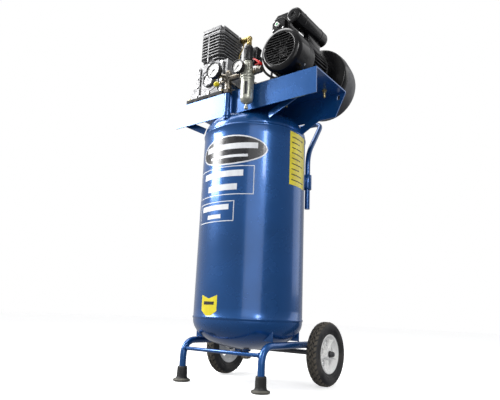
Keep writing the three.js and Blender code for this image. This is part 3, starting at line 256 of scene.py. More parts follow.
class B:
    """a mesh under construction"""
    def __init__(s):
        s.bm = bmesh.new()
        s.mi = 0

    def mat(s, i):
        s.mi = i
        return s

    def face(s, vs):
        try:
            f = s.bm.faces.new(vs)
            f.material_index = s.mi
            return f
        except ValueError:
            return None

    def rings(s, rings, cap=True, loop=False):
        V = [[s.bm.verts.new(p) for p in R] for R in rings]
        n = len(V[0])
        last = len(V) if loop else len(V) - 1
        for k in range(last):
            a, b = V[k], V[(k + 1) % len(V)]
            for i in range(n):
                j = (i + 1) % n
                s.face((a[i], a[j], b[j], b[i]))
        if cap and not loop:
            s.face(V[0][::-1])
            s.face(V[-1])
        return s

    def rev(s, prof, axis="z", c=(0, 0), n=48, a0=0.0):
        closed = (Vector(prof[0]) - Vector(prof[-1])).length < 1e-6
        pts = prof[:-1] if closed else prof

        def at(r, a, t):
            u, v = c[0] + r * math.cos(t), c[1] + r * math.sin(t)
            return {"z": (u, v, a), "y": (u, a, v), "x": (a, u, v)}[axis]
        R = []
        for r, a in pts:
            if r < 1e-6:
                R.append([s.bm.verts.new(at(0, a, 0))])
            else:
                R.append([s.bm.verts.new(at(r, a, a0 + 2 * PI * i / n)) for i in range(n)])
        K = len(R)
        for k in range(K if closed else K - 1):
            a, b = R[k], R[(k + 1) % K]
            for i in range(n):
                j = (i + 1) % n
                if len(a) == 1 and len(b) == 1:
                    continue
                if len(a) == 1:
                    s.face((a[0], b[j], b[i]))
                elif len(b) == 1:
                    s.face((a[i], a[j], b[0]))
                else:
                    s.face((a[i], a[j], b[j], b[i]))
        if not closed:
            for E in (R[0], R[-1]):
                if len(E) > 1:
                    s.face(E)
        return s

    def rod(s, axis, r, a, b, c, n=32, ch=0.6):
        a, b = min(a, b), max(a, b)
        ch = min(ch, (b - a) * 0.4, r * 0.5)
        return s.rev([(0, a), (r - ch, a), (r - ch * 0.3, a + ch * 0.3), (r, a + ch), (r, b - ch), (r - ch * 0.3, b - ch * 0.3), (r - ch, b), (0, b)], axis, c, n)

    def hexa(s, axis, af, a, b, c, turn=0.0, ch=0.9):
        a, b = min(a, b), max(a, b)
        R = af / math.sqrt(3)
        r2 = af / 2 * 0.97
        mid = 3

        def ringpts(h, round_):
            out = []
            for k in range(6):
                for j in range(mid):
                    t0, t1 = 2 * PI * k / 6, 2 * PI * (k + 1) / 6
                    f = j / mid
                    x = R * (math.cos(t0) * (1 - f) + math.cos(t1) * f)
                    y = R * (math.sin(t0) * (1 - f) + math.sin(t1) * f)
                    q = math.hypot(x, y)
                    if round_:
                        x, y = x / q * min(q, r2), y / q * min(q, r2)
                    ca, sa = math.cos(turn), math.sin(turn)
                    x, y = x * ca - y * sa + c[0], x * sa + y * ca + c[1]
                    out.append({"z": (x, y, h), "y": (x, h, y), "x": (h, x, y)}[axis])
            return out
        return s.rings([ringpts(a, True), ringpts(a + ch, False), ringpts(b - ch, False), ringpts(b, True)])

    def prism(s, pts, a, b, axis="y"):
        """extrudes a polygon: [x, z] along y, [x, y] along z, [y, z] along x"""
        def at(p, h):
            return {"y": (p[0], h, p[1]), "z": (p[0], p[1], h), "x": (h, p[0], p[1])}[axis]
        return s.rings([[at(p, a) for p in pts], [at(p, b) for p in pts]])

    def pad(s, pts, a, b, axis="y", e=1.0, seg=3, ends=(1, 1)):
        """a prism whose end edges are rounded by e"""
        n = len(pts)
        P = [Vector((p[0], p[1])) for p in pts]
        area = sum(P[i].x * P[(i + 1) % n].y - P[(i + 1) % n].x * P[i].y for i in range(n))
        sg = 1 if area > 0 else -1
        N = []
        for i in range(n):
            d1, d2 = (P[i] - P[i - 1]), (P[(i + 1) % n] - P[i])
            n1, n2 = Vector((d1.y, -d1.x)).normalized() * sg, Vector((d2.y, -d2.x)).normalized() * sg
            m = n1 + n2
            m = m.normalized() if m.length > 1e-6 else n1
            N.append(m / max(0.5, m.dot(n1)))

        def at(p, h):
            return {"y": (p[0], h, p[1]), "z": (p[0], p[1], h), "x": (h, p[0], p[1])}[axis]
        R = []
        st = [(PI / 2 * k / seg) for k in range(seg + 1)]
        if ends[0]:
            for t in st:
                R.append([at(P[i] - N[i] * e * (1 - math.sin(t)), a + e * (1 - math.cos(t))) for i in range(n)])
        else:
            R.append([at(p, a) for p in P])
        if ends[1]:
            for t in st[::-1]:
                R.append([at(P[i] - N[i] * e * (1 - math.sin(t)), b - e * (1 - math.cos(t))) for i in range(n)])
        else:
            R.append([at(p, b) for p in P])
        return s.rings(R)

    def box(s, x0, x1, y0, y1, z0, z1, e=0.8, r=None):
        r = e if r is None else r
        r = max(0.05, min(r, (x1 - x0) * 0.45, (y1 - y0) * 0.45))
        e = max(0.03, min(e, (z1 - z0) * 0.4, r))
        return s.pad(rrect(x0, x1, y0, y1, r, 3), z0, z1, "z", e, 2)

    def tube(s, pts, r, n=20, closed=False, cap=True):
        P = [Vector(p) for p in pts]
        K = len(P)
        T = []
        for i in range(K):
            if closed:
                t = (P[(i + 1) % K] - P[i - 1])
            else:
                t = (P[min(i + 1, K - 1)] - P[max(i - 1, 0)])
            T.append(t.normalized())
        u = T[0].orthogonal().normalized()
        R = []
        for i in range(K):
            u = (u - T[i] * u.dot(T[i])).normalized()
            v = T[i].cross(u)
            rr = r(i / (K - 1)) if callable(r) else r
            R.append([tuple(P[i] + (u * math.cos(2 * PI * k / n) + v * math.sin(2 * PI * k / n)) * rr) for k in range(n)])
        return s.rings(R, cap=cap, loop=closed)

    def ball(s, r, c, n=32, m=12, k=(1, 1, 1)):
        R = [[(c[0], c[1], c[2] - r * k[2])]]
        V = [[s.bm.verts.new((c[0], c[1], c[2] - r * k[2]))]]
        for i in range(1, m):
            a = -PI / 2 + PI * i / m
            V.append([s.bm.verts.new((c[0] + r * k[0] * math.cos(a) * math.cos(2 * PI * j / n), c[1] + r * k[1] * math.cos(a) * math.sin(2 * PI * j / n), c[2] + r * k[2] * math.sin(a))) for j in range(n)])
        V.append([s.bm.verts.new((c[0], c[1], c[2] + r * k[2]))])
        for i in range(m):
            a, b = V[i], V[i + 1]
            for j in range(n):
                q = (j + 1) % n
                if len(a) == 1:
                    s.face((a[0], b[q], b[j]))
                elif len(b) == 1:
                    s.face((a[j], a[q], b[0]))
                else:
                    s.face((a[j], a[q], b[q], b[j]))
        return s


def obj(name, b, mats, body="base", rep=(), bevel=0.0, seg=2, ang=38.0, world=False, cut=None, sharp=38.0, self_=False):
    bm = b.bm if isinstance(b, B) else b
    if not world:
        for v in bm.verts:
            v.co = W(v.co)
    bmesh.ops.recalc_face_normals(bm, faces=bm.faces)
    me = bpy.data.meshes.new(name)
    bm.to_mesh(me)
    bm.free()
    if not isinstance(mats, (list, tuple)):
        mats = [mats]
    for m in mats:
        me.materials.append(m)
    o = bpy.data.objects.new(name, me)
    scene.collection.objects.link(o)
    if cut is not None:
        cb = cut.bm
        for v in cb.verts:
            v.co = W(v.co)
        bmesh.ops.recalc_face_normals(cb, faces=cb.faces)
        cm = bpy.data.meshes.new(name + "_c")
        cb.to_mesh(cm)
        cb.free()
        c = bpy.data.objects.new(name + "_c", cm)
        scene.collection.objects.link(c)
        md = o.modifiers.new("cut", "BOOLEAN")
        md.operation = "DIFFERENCE"
        md.solver = "EXACT"
        md.use_self = self_
        md.object = c
        bpy.context.view_layer.update()
        nm = bpy.data.meshes.new_from_object(o.evaluated_get(bpy.context.evaluated_depsgraph_get()))
        o.modifiers.clear()
        o.data = nm
        bpy.data.objects.remove(c)
    if bevel:
        md = o.modifiers.new("bevel", "BEVEL")
        md.width = bevel * S
        md.segments = seg
        md.limit_method = "ANGLE"
        md.angle_limit = math.radians(ang)
        md.use_clamp_overlap = True
        bpy.context.view_layer.update()
        nm = bpy.data.meshes.new_from_object(o.evaluated_get(bpy.context.evaluated_depsgraph_get()))
        o.modifiers.clear()
        o.data = nm
    o.data.shade_smooth()
    o.data.set_sharp_from_angle(angle=math.radians(sharp))
    if bevel:
        md = o.modifiers.new("wn", "WEIGHTED_NORMAL")
        md.keep_sharp = True
        md.weight = 80
    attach(o, body)
    if rep:
        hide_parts(*((rep,) if isinstance(rep, str) else rep))
    return o


def refine(name, node, mats, body="base", bevel=1.0, seg=2, extra=None):
    """a bevelled, smooth copy of a CAD node with flat faces"""
    src = frame["nodes"][node]
    bm = bmesh.new()
    bm.from_mesh(src.data)
    bmesh.ops.remove_doubles(bm, verts=bm.verts, dist=1e-6)
    bmesh.ops.dissolve_limit(bm, angle_limit=math.radians(1.5), verts=bm.verts, edges=bm.edges)
    for f in bm.faces:
        f.material_index = 0
    return obj(name, bm, mats, body, node, bevel=bevel, seg=seg, world=True, ang=25)

# ------------------------------------------------------------------ tank
def dome(z):
    return z


TP = [(0, 108)]
for i in range(1, 33):
    a = PI / 2 * i / 32
    TP.append((185 * math.sin(a), 201 - 93 * math.cos(a)))
TP += [(185, 203), (186.6, 205), (187.3, 208), (186.6, 211), (185, 213)]
TP += [(185, 213 + (841 - 213) * i / 24) for i in range(1, 25)]
TP += [(186.6, 843), (187.3, 846), (186.6, 849), (185, 851)]
for i in range(0, 33):
    a = PI / 2 * (1 - i / 32)
    TP.append((185 * math.sin(a), 853 + 93 * math.cos(a)))
TP[-1] = (0, 946)
t = B().rev(TP, "z", (0, 0), 128)
CK = (-33, -20)
t.rod("z", 15, 102, 114, (0, 0), 32, 1.2).rod("z", 15, 935, 951, CK, 32, 1.2)
for s in (-1, 1):
    for y in (-78, 78):
        x0, x1 = (104, 157) if s > 0 else (-157, -104)
        t.box(x0, x1, y - 3, y + 3, 142.4, 176, 1.0)
    t.rev([(12.4, 693), (15, 693), (15.5, 693.8), (15.5, 748.2), (15, 749), (12.4, 749), (12.4, 693)], "z", (s * 118, 187), 32)
    t.box(s * 118 - 3, s * 118 + 3, 120, 174.4, 696, 746, 0.8)
obj("tank", t, BLUE, "base", "tank_shell", sharp=50)


def decal(name, outline, mat, off=0.35, cols=40):
    """a thin film on the tank's wall: outline(a) gives the height range at angle a in degrees, from a0 to a1"""
    a0, a1, f = outline
    b = B()
    F = []
    for i in range(cols + 1):
        a = a0 + (a1 - a0) * i / cols
        z0, z1 = f(a)
        if z1 - z0 < 0.3:
            z0, z1 = (z0 + z1) / 2 - 0.15, (z0 + z1) / 2 + 0.15
        t_ = math.radians(a)
        F.append([(R * math.sin(t_), -R * math.cos(t_), z) for R, z in ((185 + off, z0), (185 + off, z1), (184.6, z1), (184.6, z0))])
    b.rings(F)
    return obj(name, b, mat, "base", (), sharp=30)


def ell(ac, da, zc, dz, tilt=0.0):
    return (ac - da * 0.999, ac + da * 0.999, lambda a: (zc + tilt * (a - ac) - dz * math.sqrt(max(0, 1 - ((a - ac) / da) ** 2)), zc + tilt * (a - ac) + dz * math.sqrt(max(0, 1 - ((a - ac) / da) ** 2))))


def rect(a0, a1, z0, z1):
    return (a0, a1, lambda a: (z0, z1))


decal("panel_oval_edge", ell(9, 41.5, 755, 52), FILMW, 0.30, 60)
decal("panel_oval", ell(9, 40, 755, 47), FILMK, 0.42, 60)
decal("panel_oval_bar_1", rect(-24, 40, 757, 777), FILMW, 0.55, 40)
decal("panel_oval_bar_2", rect(-16, 30, 728, 737), FILMW, 0.55, 30)
for nm, a0, a1, z0, z1, rows in (("panel_a", -38, 37.5, 600, 698, ((-26, 26, 662, 683), (-18, 20, 616, 637))), ("panel_b", -33, 18, 512, 580, ((-27, 12, 551, 569), (-16, 3, 523, 537)))):
    decal(nm + "_top", rect(a0, a1, z1 - 2.6, z1), FILMW)
    decal(nm + "_bottom", rect(a0, a1, z0, z0 + 2.6), FILMW)
    decal(nm + "_left", rect(a0, a0 + 0.8, z0 + 2, z1 - 2), FILMW, cols=2)
    decal(nm + "_right", rect(a1 - 0.8, a1, z0 + 2, z1 - 2), FILMW, cols=2)
    for i, (b0, b1, c0, c1) in enumerate(rows):
        decal(f"{nm}_bar_{i}", rect(b0, b1, c0, c1), FILMW, cols=24)
decal("side_panel", rect(77, 108.6, 652, 842), FILMY, 0.35, 24)
for i in range(9):
    decal(f"side_panel_line_{i}", rect(80, 104 - (i * 7 % 5) * 2.4, 668 + i * 19, 671.5 + i * 19), INK, 0.48, 12)
decal("arrow_plate", (-16.7, 4.6, lambda a: (206 + abs(a + 6) * 2.1, 266 + abs(a + 6) * 1.05)), FILMY, 0.35, 40)
decal("arrow_bar", rect(-13, 1, 247, 257), INK, 0.48, 16)

b = B()
b.rod("z", 4.4, 86, 108, (0, 0), 20).hexa("z", 18, 88, 101.4, (0, 0)).rod("z", 11, 78, 88, (0, 0), 32, 1.5)
b.pad(rrect(-19, 19, -2.5, 2.5, 2.4, 5), 80, 87, "z", 1.2)
obj("drain_tap_fine", b, DNICK, "drain_knob", "drain_knob")

# ------------------------------------------------------------------ running gear
for side, s in (("left", -1), ("right", 1)):
    x = s * 159
    b = B().rev(fillet([(0, 0.0), (24, 0), (28.5, 2.5), (28.5, 7), (19, 11), (17.2, 16), (16.4, 44), (14.8, 48), (11.9, 48), (11.9, 20), (0, 20)], [0, 1, 2, 2, 3, 3, 3, 1.5, 1, 0.5, 0], 5), "z", (x, -136), 48)
    for zz in (22, 28, 34):
        b.rev([(16.6 - (zz - 16) * 0.02 + 0.9 * math.cos(q * PI / 3), zz + 1.1 * math.sin(q * PI / 3)) for q in range(7)], "z", (x, -136), 48)
    for f_ in b.bm.faces:
        if f_.calc_center_median().z < 10.5:
            f_.material_index = 1
    obj("foot_fine_" + side, b, [RUBBER, SOLE], "base", "foot_" + side)
    # wheel
    hx = s * 214

    def fl(p):
        return [(q[0], q[1] * s + hx) for q in p]
    c = (161, 104.5)
    prof = fillet([(64.4, -15), (72, -17.2), (74, -19.2), (76, -19.0), (80, -22.3), (87, -23), (94, -22.2), (99, -17.5), (101.2, -12), (101.4, 0), (101.2, 12), (99, 17.5), (94, 22.2), (87, 23), (80, 22.3), (76, 19.0), (74, 19.2), (72, 17.2), (64.4, 15)], 2.0, 3)
    prof = prof + [prof[0]]
    b = B().rev(fl(prof), "x", c, 96)
    # raised rings on the sidewall
    for sd in (-1, 1):
        for rr, ww in ((77.5, 20.9), (90.5, 22.9)):
            b.rev(fl([(rr + 0.9 * math.cos(q * PI / 3), sd * ww + 0.55 * math.sin(q * PI / 3)) for q in range(7)]), "x", c, 96)
    # tread blocks in a zigzag; their lighter colour is partly worn rubber and partly painted light
    b.mat(1)
    NB = 34

    def blk(a0, a1, x0, x1, sk, r0, r1):
        V = []
        for R, e in ((r0, 0.0), (r1, 1.0)):
            for (a, xx) in ((a0, x0), (a1, x0), (a1, x1), (a0, x1)):
                ee = e * 0.010 * (1 if a == a0 else -1)
                xe = e * 0.6 * (1 if xx == x0 else -1)
                aa = a + ee + sk * ((xx - (x0 + x1) / 2) / (x1 - x0))
                rr = R - max(0, abs(xx) - 11) * 0.62
                V.append(b.bm.verts.new((hx + s * (xx + xe), c[0] + rr * math.cos(aa), c[1] + rr * math.sin(aa))))
        for q in ((0, 1, 2, 3), (4, 5, 6, 7), (0, 1, 5, 4), (1, 2, 6, 5), (2, 3, 7, 6), (3, 0, 4, 7)):
            b.face([V[k] for k in q])
    st = 2 * PI / NB
    for k in range(NB):
        a = k * st
        blk(a, a + st * 0.74, -17.8, -7.2, 0.055, 99.5, 104.4)
        blk(a + st * 0.5, a + st * 1.24, -6.0, 0.9, -0.055, 99.5, 104.4)
        blk(a + st * 0.18, a + st * 0.92, 2.0, 8.2, 0.055, 99.5, 104.4)
        blk(a + st * 0.62, a + st * 1.36, 9.4, 17.8, -0.055, 99.5, 104.4)
    obj("tyre_fine_" + side, b, [SIDE, TREAD_WORN_LIT], "wheel_" + side, "tyre_" + side)
    rp = fillet([(8.5, -20), (16.4, -20), (17, -6.5), (51, -6), (57, -15), (62.4, -16.2), (64, -15), (64, 15), (62.4, 16.2), (57, 15), (53, 3.4), (21, 3), (17, 14), (8.5, 14)], [0.5, 1, 3, 3, 2, 1, 1, 1, 1, 3, 3, 3, 1, 0.5], 4, True)
    rp = rp + [rp[0]]
    b = B().rev(fl(rp), "x", c, 96)
    cu = B()
    for k in range(5):
        a = PI / 2 + 2 * PI * k / 5
        cu.rod("x", 10, hx - 16, hx + 16, (c[0] + 35 * math.cos(a), c[1] + 35 * math.sin(a)), 32, 0.1)
    obj("rim_fine_" + side, b, WHITE, "wheel_" + side, "rim_" + side, cut=cu, bevel=0.5, seg=2, ang=60)
    b = B()
    for k in range(5):
        a = PI / 2 + 2 * PI * (k + 0.5) / 5
        u = (math.cos(a), math.sin(a))
        n0 = (-u[1], u[0])
        V = []
        for (q, w_, h_) in ((15.5, 4.2, 13.0), (24, 3.4, 11.5), (40, 2.8, 9.0), (54, 3.6, 12.5), (55.5, 3.6, 14.0)):
            V.append([(hx + s * h1, c[0] + u[0] * q + n0[0] * w1, c[1] + u[1] * q + n0[1] * w1) for w1, h1 in ((-w_, 2.4), (-w_ * 0.75, h_ - 0.8), (-w_ * 0.4, h_), (w_ * 0.4, h_), (w_ * 0.75, h_ - 0.8), (w_, 2.4))])
        b.rings(V)
    for k in range(10):
        a = PI / 2 + 2 * PI * (k + 0.5) / 10
        q = (c[0] + 45.5 * math.cos(a), c[1] + 45.5 * math.sin(a))
        b.rod("x", 2.2, hx + s * 2.6, hx + s * 4.6, q, 12, 0.5)
    obj("rim_rivets_" + side, b, WHITE, "wheel_" + side, ())
b = B().rod("x", 8, -244, 244, (161, 104.5), 32, 1.5)
for d in (-1, 1):
    for (r, a0, a1) in ((15, 189.5, 193), (11, 228.6, 230.6)):
        b.rod("x", r, d * a0, d * a1, (161, 104.5), 40, 0.5)
    b.hexa("x", 16, d * 230.6, d * 240, (161, 104.5), 0.3, 1.2)
obj("axle_fine", b, IRON, "base", "axle")

b = B().rod("x", 6, -158, 158, (-136, 105), 28, 0.3)
for s in (-1, 1):
    x = s * 159
    b.tube(fillet([(x, -136, 14), (x, -136, 131), (x, 175, 131)], 62, 16), 11, 28)
    b.pad(rrect(146, 174, 86, 131, 4, 5), x - 4, x + 4, "x", 0.8)
    # weld beads
    b.tube([(x - s * 10.6, -136 + 7.2 * math.cos(q * PI / 12), 105 + 7.2 * math.sin(q * PI / 12)) for q in range(24)], 1.5, 10, closed=True)
    for d in (-1, 1):
        b.tube([(x + d * 5, 147 + i * 26 / 8, 120.8 + (i % 2) * 0.5) for i in range(9)], 1.7, 10)
    for y in (-78, 78):
        b.tube([(x - s * 4 + i * 0.6 - 3, y + 3.6, 141.0 + (i % 2) * 0.4) for i in range(9)], 1.5, 10)
obj("leg_frame_fine", b, BLUE, "base", "leg_frame", sharp=50)
H = [(-118, 187, 617), (-118, 187, 835), (-118, 300, 1003), (118, 300, 1003), (118, 187, 835), (118, 187, 617)]
obj("handle_fine", B().tube(fillet(H, 46, 14), 9.75, 32), BLUE, "base", "handle", sharp=60)

# ------------------------------------------------------------------ deck
refine("deck_fine", "deck", BLUE, "base", 1.3, 3)
for side, s in (("left", -1), ("right", 1)):
    refine("strut_fine_" + side, "strut_" + side, BLUE, "base", 0.9, 2)
refine("pump_plate_fine", "pump_base_plate", PLATE, "base", 0.9, 2)
b = B()
for x, y in ((-212, -140), (-212, 10), (-56, -140), (-56, 10)):
    b.hexa("z", 13, 1005.6, 1011.5, (x, y), 0.2).rod("z", 9.5, 1005.4, 1006.8, (x, y), 28, 0.3)
obj("pump_foot_bolts", b, ZINC, "base", ())

# ------------------------------------------------------------------ pump
refine("crankcase_fine", "crankcase", ALU, "base", 2.4, 3)
PX, ZC = -125, 1073
b = B().pad(rrect(PX - 66, PX + 66, 1014, 1138, 14, 8), -136, -130.4, "y", 1.4, 3)
b.rev(fillet([(0, -131), (30, -131), (30, -144), (28, -146), (20.6, -146), (19.4, -144), (19.4, -141.5), (0, -141.5)], 1.5, 3), "y", (PX, ZC), 56)
b.rev(fillet([(44, -135.5), (44, -138), (47, -138), (47, -135.5), (44, -135.5)][:4], 0.5, 2, True) + [(44.0, -135.5)][:0], "y", (PX, ZC), 56)
for dx in (-45, 45):
    b.box(PX + dx - 1.8, PX + dx + 1.8, -141, -135, 1022, 1130, 0.8)
for k in range(6):
    a = 2 * PI * k / 6 + PI / 6
    b.rod("y", 4.2, -148.5, -145, (PX + 25 * math.cos(a), ZC + 25 * math.sin(a)), 20, 0.8)
obj("crankcase_cover_fine", b, ALU, "base", "crankcase_cover")
b = B()
for x in (PX - 59, PX, PX + 59):
    for z in (1021, 1131):
        b.hexa("y", 9, -140.4, -135.8, (x, z), 0.3, 0.7).rod("y", 6.4, -136.6, -135.6, (x, z), 24, 0.3)
for z in (1058, 1094):
    for x in (PX - 60, PX + 60):
        b.hexa("y", 9, -140.4, -135.8, (x, z), 0.3, 0.7)
b.rod("y", 10, -141.4, -138, (PX, ZC), 32, 1.0)
obj("cover_bolts", b, STEEL, "base", ())
b = B().rod("z", 15, 1141, 1147, (-208, -70), 28, 1)    # breather on the flared side
b = B()
b.rev(fillet([(0, 1022), (10, 1022), (10, 1030), (13, 1032), (13, 1050), (9, 1056), (0, 1056)], 1.5, 3), "z", (-213, -66), 36)
obj("oil_filler", b, BPLAS, "base", ())


def plan(b, x0, x1, y0, y1, z0, z1, r, e=0.7):
    b.pad([(x1, y0 + r), (x1, y1 - r), (x1 - r, y1), (x0 + r, y1), (x0, y1 - r), (x0, y0 + r), (x0 + r, y0), (x1 - r, y0)], z0, z1, "z", e, 2)


b = B()
plan(b, PX - 33, PX + 33, -136, -10, 1142.4, 1262, 26, 0.3)
plan(b, PX - 44, PX + 44, -129, -13, 1142.4, 1152, 8, 1.2)
for k in range(9):
    z = 1258 - 12.4 * k
    i_ = 6 if k == 8 else 0
    plan(b, PX - 56 + i_, PX + 56 - i_, -141 + i_, -5 - i_, z - 1.9, z + 1.9, 14, 0.9)
b.box(PX - 15, PX - 8, -140, -129, 1148, 1260, 0.9)
for x in (PX - 41, PX + 41):
    for y in (-18,):
        b.rod("z", 6.0, 1142.4, 1262, (x, y), 24, 0.5)
cu = B()
for y in (-104, -36):
    cu.rod("z", 27.8, 1135, 1270, (PX, y), 64, 0.1)
obj("cylinder_block_fine", b, ALU, "base", "cylinder_block", cut=cu, self_=True)
b = B()
plan(b, PX - 55, PX + 55, -140, -6, 1262.4, 1277, 13, 1.3)
for k in range(15):
    x = PX - 49 + k * 7
    top = 1290 if k in (0, 14) else (1288 + (7.6 if k % 2 else 5.2) * math.sin(PI * k / 14))
    y0, y1 = (-134, -12) if 0 < k < 14 else (-128, -18)
    if x + 1.3 > -95 and True:
        y1 = -38
    b.box(x - 1.25, x + 1.25, y0, y1, 1275, top, 0.7)
b.box(PX - 52, PX + 52, -74, -70, 1275, 1285, 0.8)
b.box(PX - 46, PX + 46, -140, -135, 1268, 1289.5, 1.4, 2.2)
b.box(PX + 49.5, PX + 55, -128, -40, 1268, 1289.5, 1.4, 2.4)
b.box(PX + 30, PX + 55, -36, -4 - 2.2, 1264, 1290, 2.0, 4.0)
b.box(PX - 55, PX - 47, -126, -20, 1268, 1290, 1.6, 3.0)
obj("cylinder_head_fine", b, ALU, "base", "cylinder_head")
b = B()
for x in (PX - 32.5, PX + 32.5):
    for y in (-121, -73, -43 if x > PX else -24):
        b.hexa("z", 10, 1275, 1284, (x, y), 0.2).rod("z", 7.4, 1275, 1278.2, (x, y), 24, 0.3)
obj("head_bolts", b, STEEL, "base", ())

for nm, c in (("left_front", (138, -95)), ("right_front", (290, -95)), ("left_rear", (138, -4)), ("right_rear", (290, -4))):
    b = B().rod("z", 4.2, 952, 1005, c, 20, 0.8).hexa("z", 13, 998.4, 1004, c, 0.3).rod("z", 9, 997.3, 998.8, c, 28, 0.3)
    b.hexa("z", 13, 971.5, 978.4, c, 0.1).rod("z", 9, 977.4, 978.8, c, 28, 0.3)
    for k in range(9):
        b.rev([(4.2 + 0.35 * math.cos(q * PI / 2), 954 + k * 1.9 + 0.5 * math.sin(q * PI / 2)) for q in range(5)], "z", c, 20)
    obj("motor_bolt_fine_" + nm, b, ZINC, "base", "motor_bolt_" + nm)

# ------------------------------------------------------------------ motor
MX, MZ = 214, 1078
b = B()
NF = 36
pts = []
for k in range(NF):
    a, d = 2 * PI * k / NF, 2 * PI / NF
    for f, rr in ((0.02, 63.5), (0.10, 71.6), (0.30, 71.9), (0.38, 63.5), (0.7, 63.2)):
        pts.append((MX + rr * math.cos(a + f * d), MZ + rr * math.sin(a + f * d)))
b.pad(pts, -66, 31.8, "y", 0.8, 2)
b.rev(fillet([(0, -118), (70.5, -118), (72, -116), (72, -66), (70, -62), (0, -62)], 1.5, 3), "y", (MX, MZ), 96)
b.rev(fillet([(60, 22), (70.5, 22), (71.5, 24), (71.5, 31), (70, 32), (60, 32), (60, 22)][:6], 1.0, 3, True), "y", (MX, MZ), 96)
obj("motor_body", b, MGREY, "base", "motor_housing")
b = B()
for y0, y1 in ((-107, -83), (-16, 8)):
    b.box(MX - 86, MX + 86, y0, y1, 983.4, 997.2, 2.0, 5.0)
    b.pad([(MX - 48, 990), (MX + 48, 990), (MX + 40, 1022), (MX - 40, 1022)], y0, y1, "y", 1.6)
b.box(MX - 20, MX + 26, -100, -40, 1138, 1152.6, 1.5, 4).box(MX + 14, MX + 44, -60, 30, 1126, 1152.6, 1.5, 4)
obj("motor_feet", b, MGREY, "base", "motor_housing")
b = B().rev(fillet([(0, 30), (66, 30), (66.5, 34), (66, 41), (58, 44), (30, 48), (11, 48), (0, 47)], 2.5, 4), "y", (MX, MZ), 96)
for k in range(4):
    a = PI / 4 + k * PI / 2
    b.hexa("y", 9, 40, 46.5, (MX + 58 * math.cos(a), MZ + 58 * math.sin(a)))
obj("motor_end_bell_fine", b, MGREY, "base", "motor_end_bell")
# fan cowl: a deep drawn shell with a slotted front
cp = fillet([(0.0, -174.6), (58, -174.6), (60.0, -175.9), (63.5, -175.6), (70, -173), (75.2, -167), (77, -157), (77, -108), (75.2, -108), (75.2, -156), (73.4, -165.6), (68.6, -171), (62, -172.8), (0, -172.6)], [0, 0.8, 1.2, 1.5, 3, 4, 5, 0.4, 0.4, 5, 4, 3, 1, 0], 4)
b = B().rev(cp, "y", (MX, MZ), 112)
cu = B()
for k in range(12):
    dz = (k - 5.5) * 9.2
    w = math.sqrt(56.5 ** 2 - dz * dz)
    if abs(dz) < 8:
        pass
    cu.pad(rrect(MX - w, MX + w, MZ + dz - 3.1, MZ + dz + 3.1, 3.0, 5), -180, -168, "y", 0.1, 1)
obj("fan_cowl_fine", b, BLACK, "base", "fan_cowl", cut=cu, bevel=0.45, seg=2, ang=50)
b = B()
b.rev([(58.8, -175.2), (59.8, -176.4), (61.2, -176.5), (62.0, -175.4), (58.8, -175.2)], "y", (MX, MZ), 112)
obj("cowl_ribs", b, BLACK, "base", ())
b = B()
for k in range(4):
    a = PI / 4 + 0.12 + k * PI / 2
    u = (math.cos(a), math.sin(a))
    q0, q1 = 76.4, 79.0
    b.tube([(MX + u[0] * 75.5, -114, MZ + u[1] * 75.5), (MX + u[0] * 79.0, -114, MZ + u[1] * 79.0)], 3.6, 24)
obj("cowl_screws", b, STEEL, "base", ())
b = refine("terminal_box_fine", "terminal_box", BLACK, "base", 1.8, 3)
b = B()
for x, z in ((148, 1197), (188, 1197), (150, 1229)):
    b.rod("y", 3.2, -118.6, -116, (x, z), 20, 0.8)
for y in (-96, -54):
    b.rod("z", 3.2, 1258, 1261.2, (177, y), 20, 0.8)
obj("terminal_box_screws", b, STEEL, "base", ())
b = B().rod("y", 6, -121, -101, (166, 1212), 28).rev(fillet([(0, -124.6), (4.5, -124.6), (5.2, -126), (8.3, -126), (8.5, -120.6), (0, -120.6)], 0.6, 3), "y", (166, 1212), 40)
b.mat(1).rev(fillet([(0, -125.5), (4.4, -125.5), (4.4, -123.5), (0, -123.5)], 0.6, 3), "y", (166, 1212), 32)
obj("reset_button_fine", b, [WPLAS, GREEN], "reset_button", "reset_button")
b = B().rev(fillet([(0, -147), (8, -147), (8, -150), (22.5, -150), (28, -144), (28, 42), (24, 50), (16, 54), (0, 54)], [0, 0.5, 0.5, 4, 4, 6, 6, 3, 0], 6), "y", (248, 1207), 72)
b.box(232, 256, -56, 26, 1152.8, 1188, 1.5, 4)
for y in (-104, 6):
    b.rev([(28.1 + 0.9 * math.cos(q * PI / 4), y + 2.4 * math.sin(q * PI / 4)) for q in range(9)], "y", (248, 1207), 72)
obj("capacitor_fine", b, BLACK, "base", "capacitor_cover")

# ------------------------------------------------------------------ belt guard


def out(ra, rb, zt, zb, dx=0.0, dz=0.0, n=40):
    bx, bz = 213 + dx, 1074 + dz
    at_, ab = math.asin(min(0.95, (zt - ZC) / ra)), math.asin(min(0.95, (ZC - zb) / ra))
    bt, bb = math.asin(min(0.95, (zt - bz) / rb)), math.asin(min(0.95, (bz - zb) / rb))
    A = arc(PX, ZC, ra, n, at_, 2 * PI - ab, True)
    C = arc(bx, bz, rb, n, -PI + bb, PI - bt, True)
    def mid(p, q, m=10):
        return [(p[0] + (q[0] - p[0]) * i / m, p[1] + (q[1] - p[1]) * i / m) for i in range(1, m)]
    return A + mid(A[-1], C[0]) + C + mid(C[-1], A[0])


def at(y, o):
    return [(p[0], y, p[1]) for p in o]


def shell(b, outer, inner):
    """a thin-walled cup: outer rings from the mouth to the closed end, inner rings back to the mouth"""
    R = outer + inner[::-1]
    V = [[b.bm.verts.new(p) for p in r] for r in R]
    n = len(V[0])
    K = len(V)
    ce = len(outer) - 1
    for k in range(K):
        if k == ce:
            continue
        a, c = V[k], V[(k + 1) % K]
        for i in range(n):
            j = (i + 1) % n
            b.face((a[i], a[j], c[j], c[i]))
    b.face(V[ce])
    b.face(V[ce + 1])


def lerp(a, c, t_):
    return tuple(a[i] + (c[i] - a[i]) * t_ for i in range(len(a)))


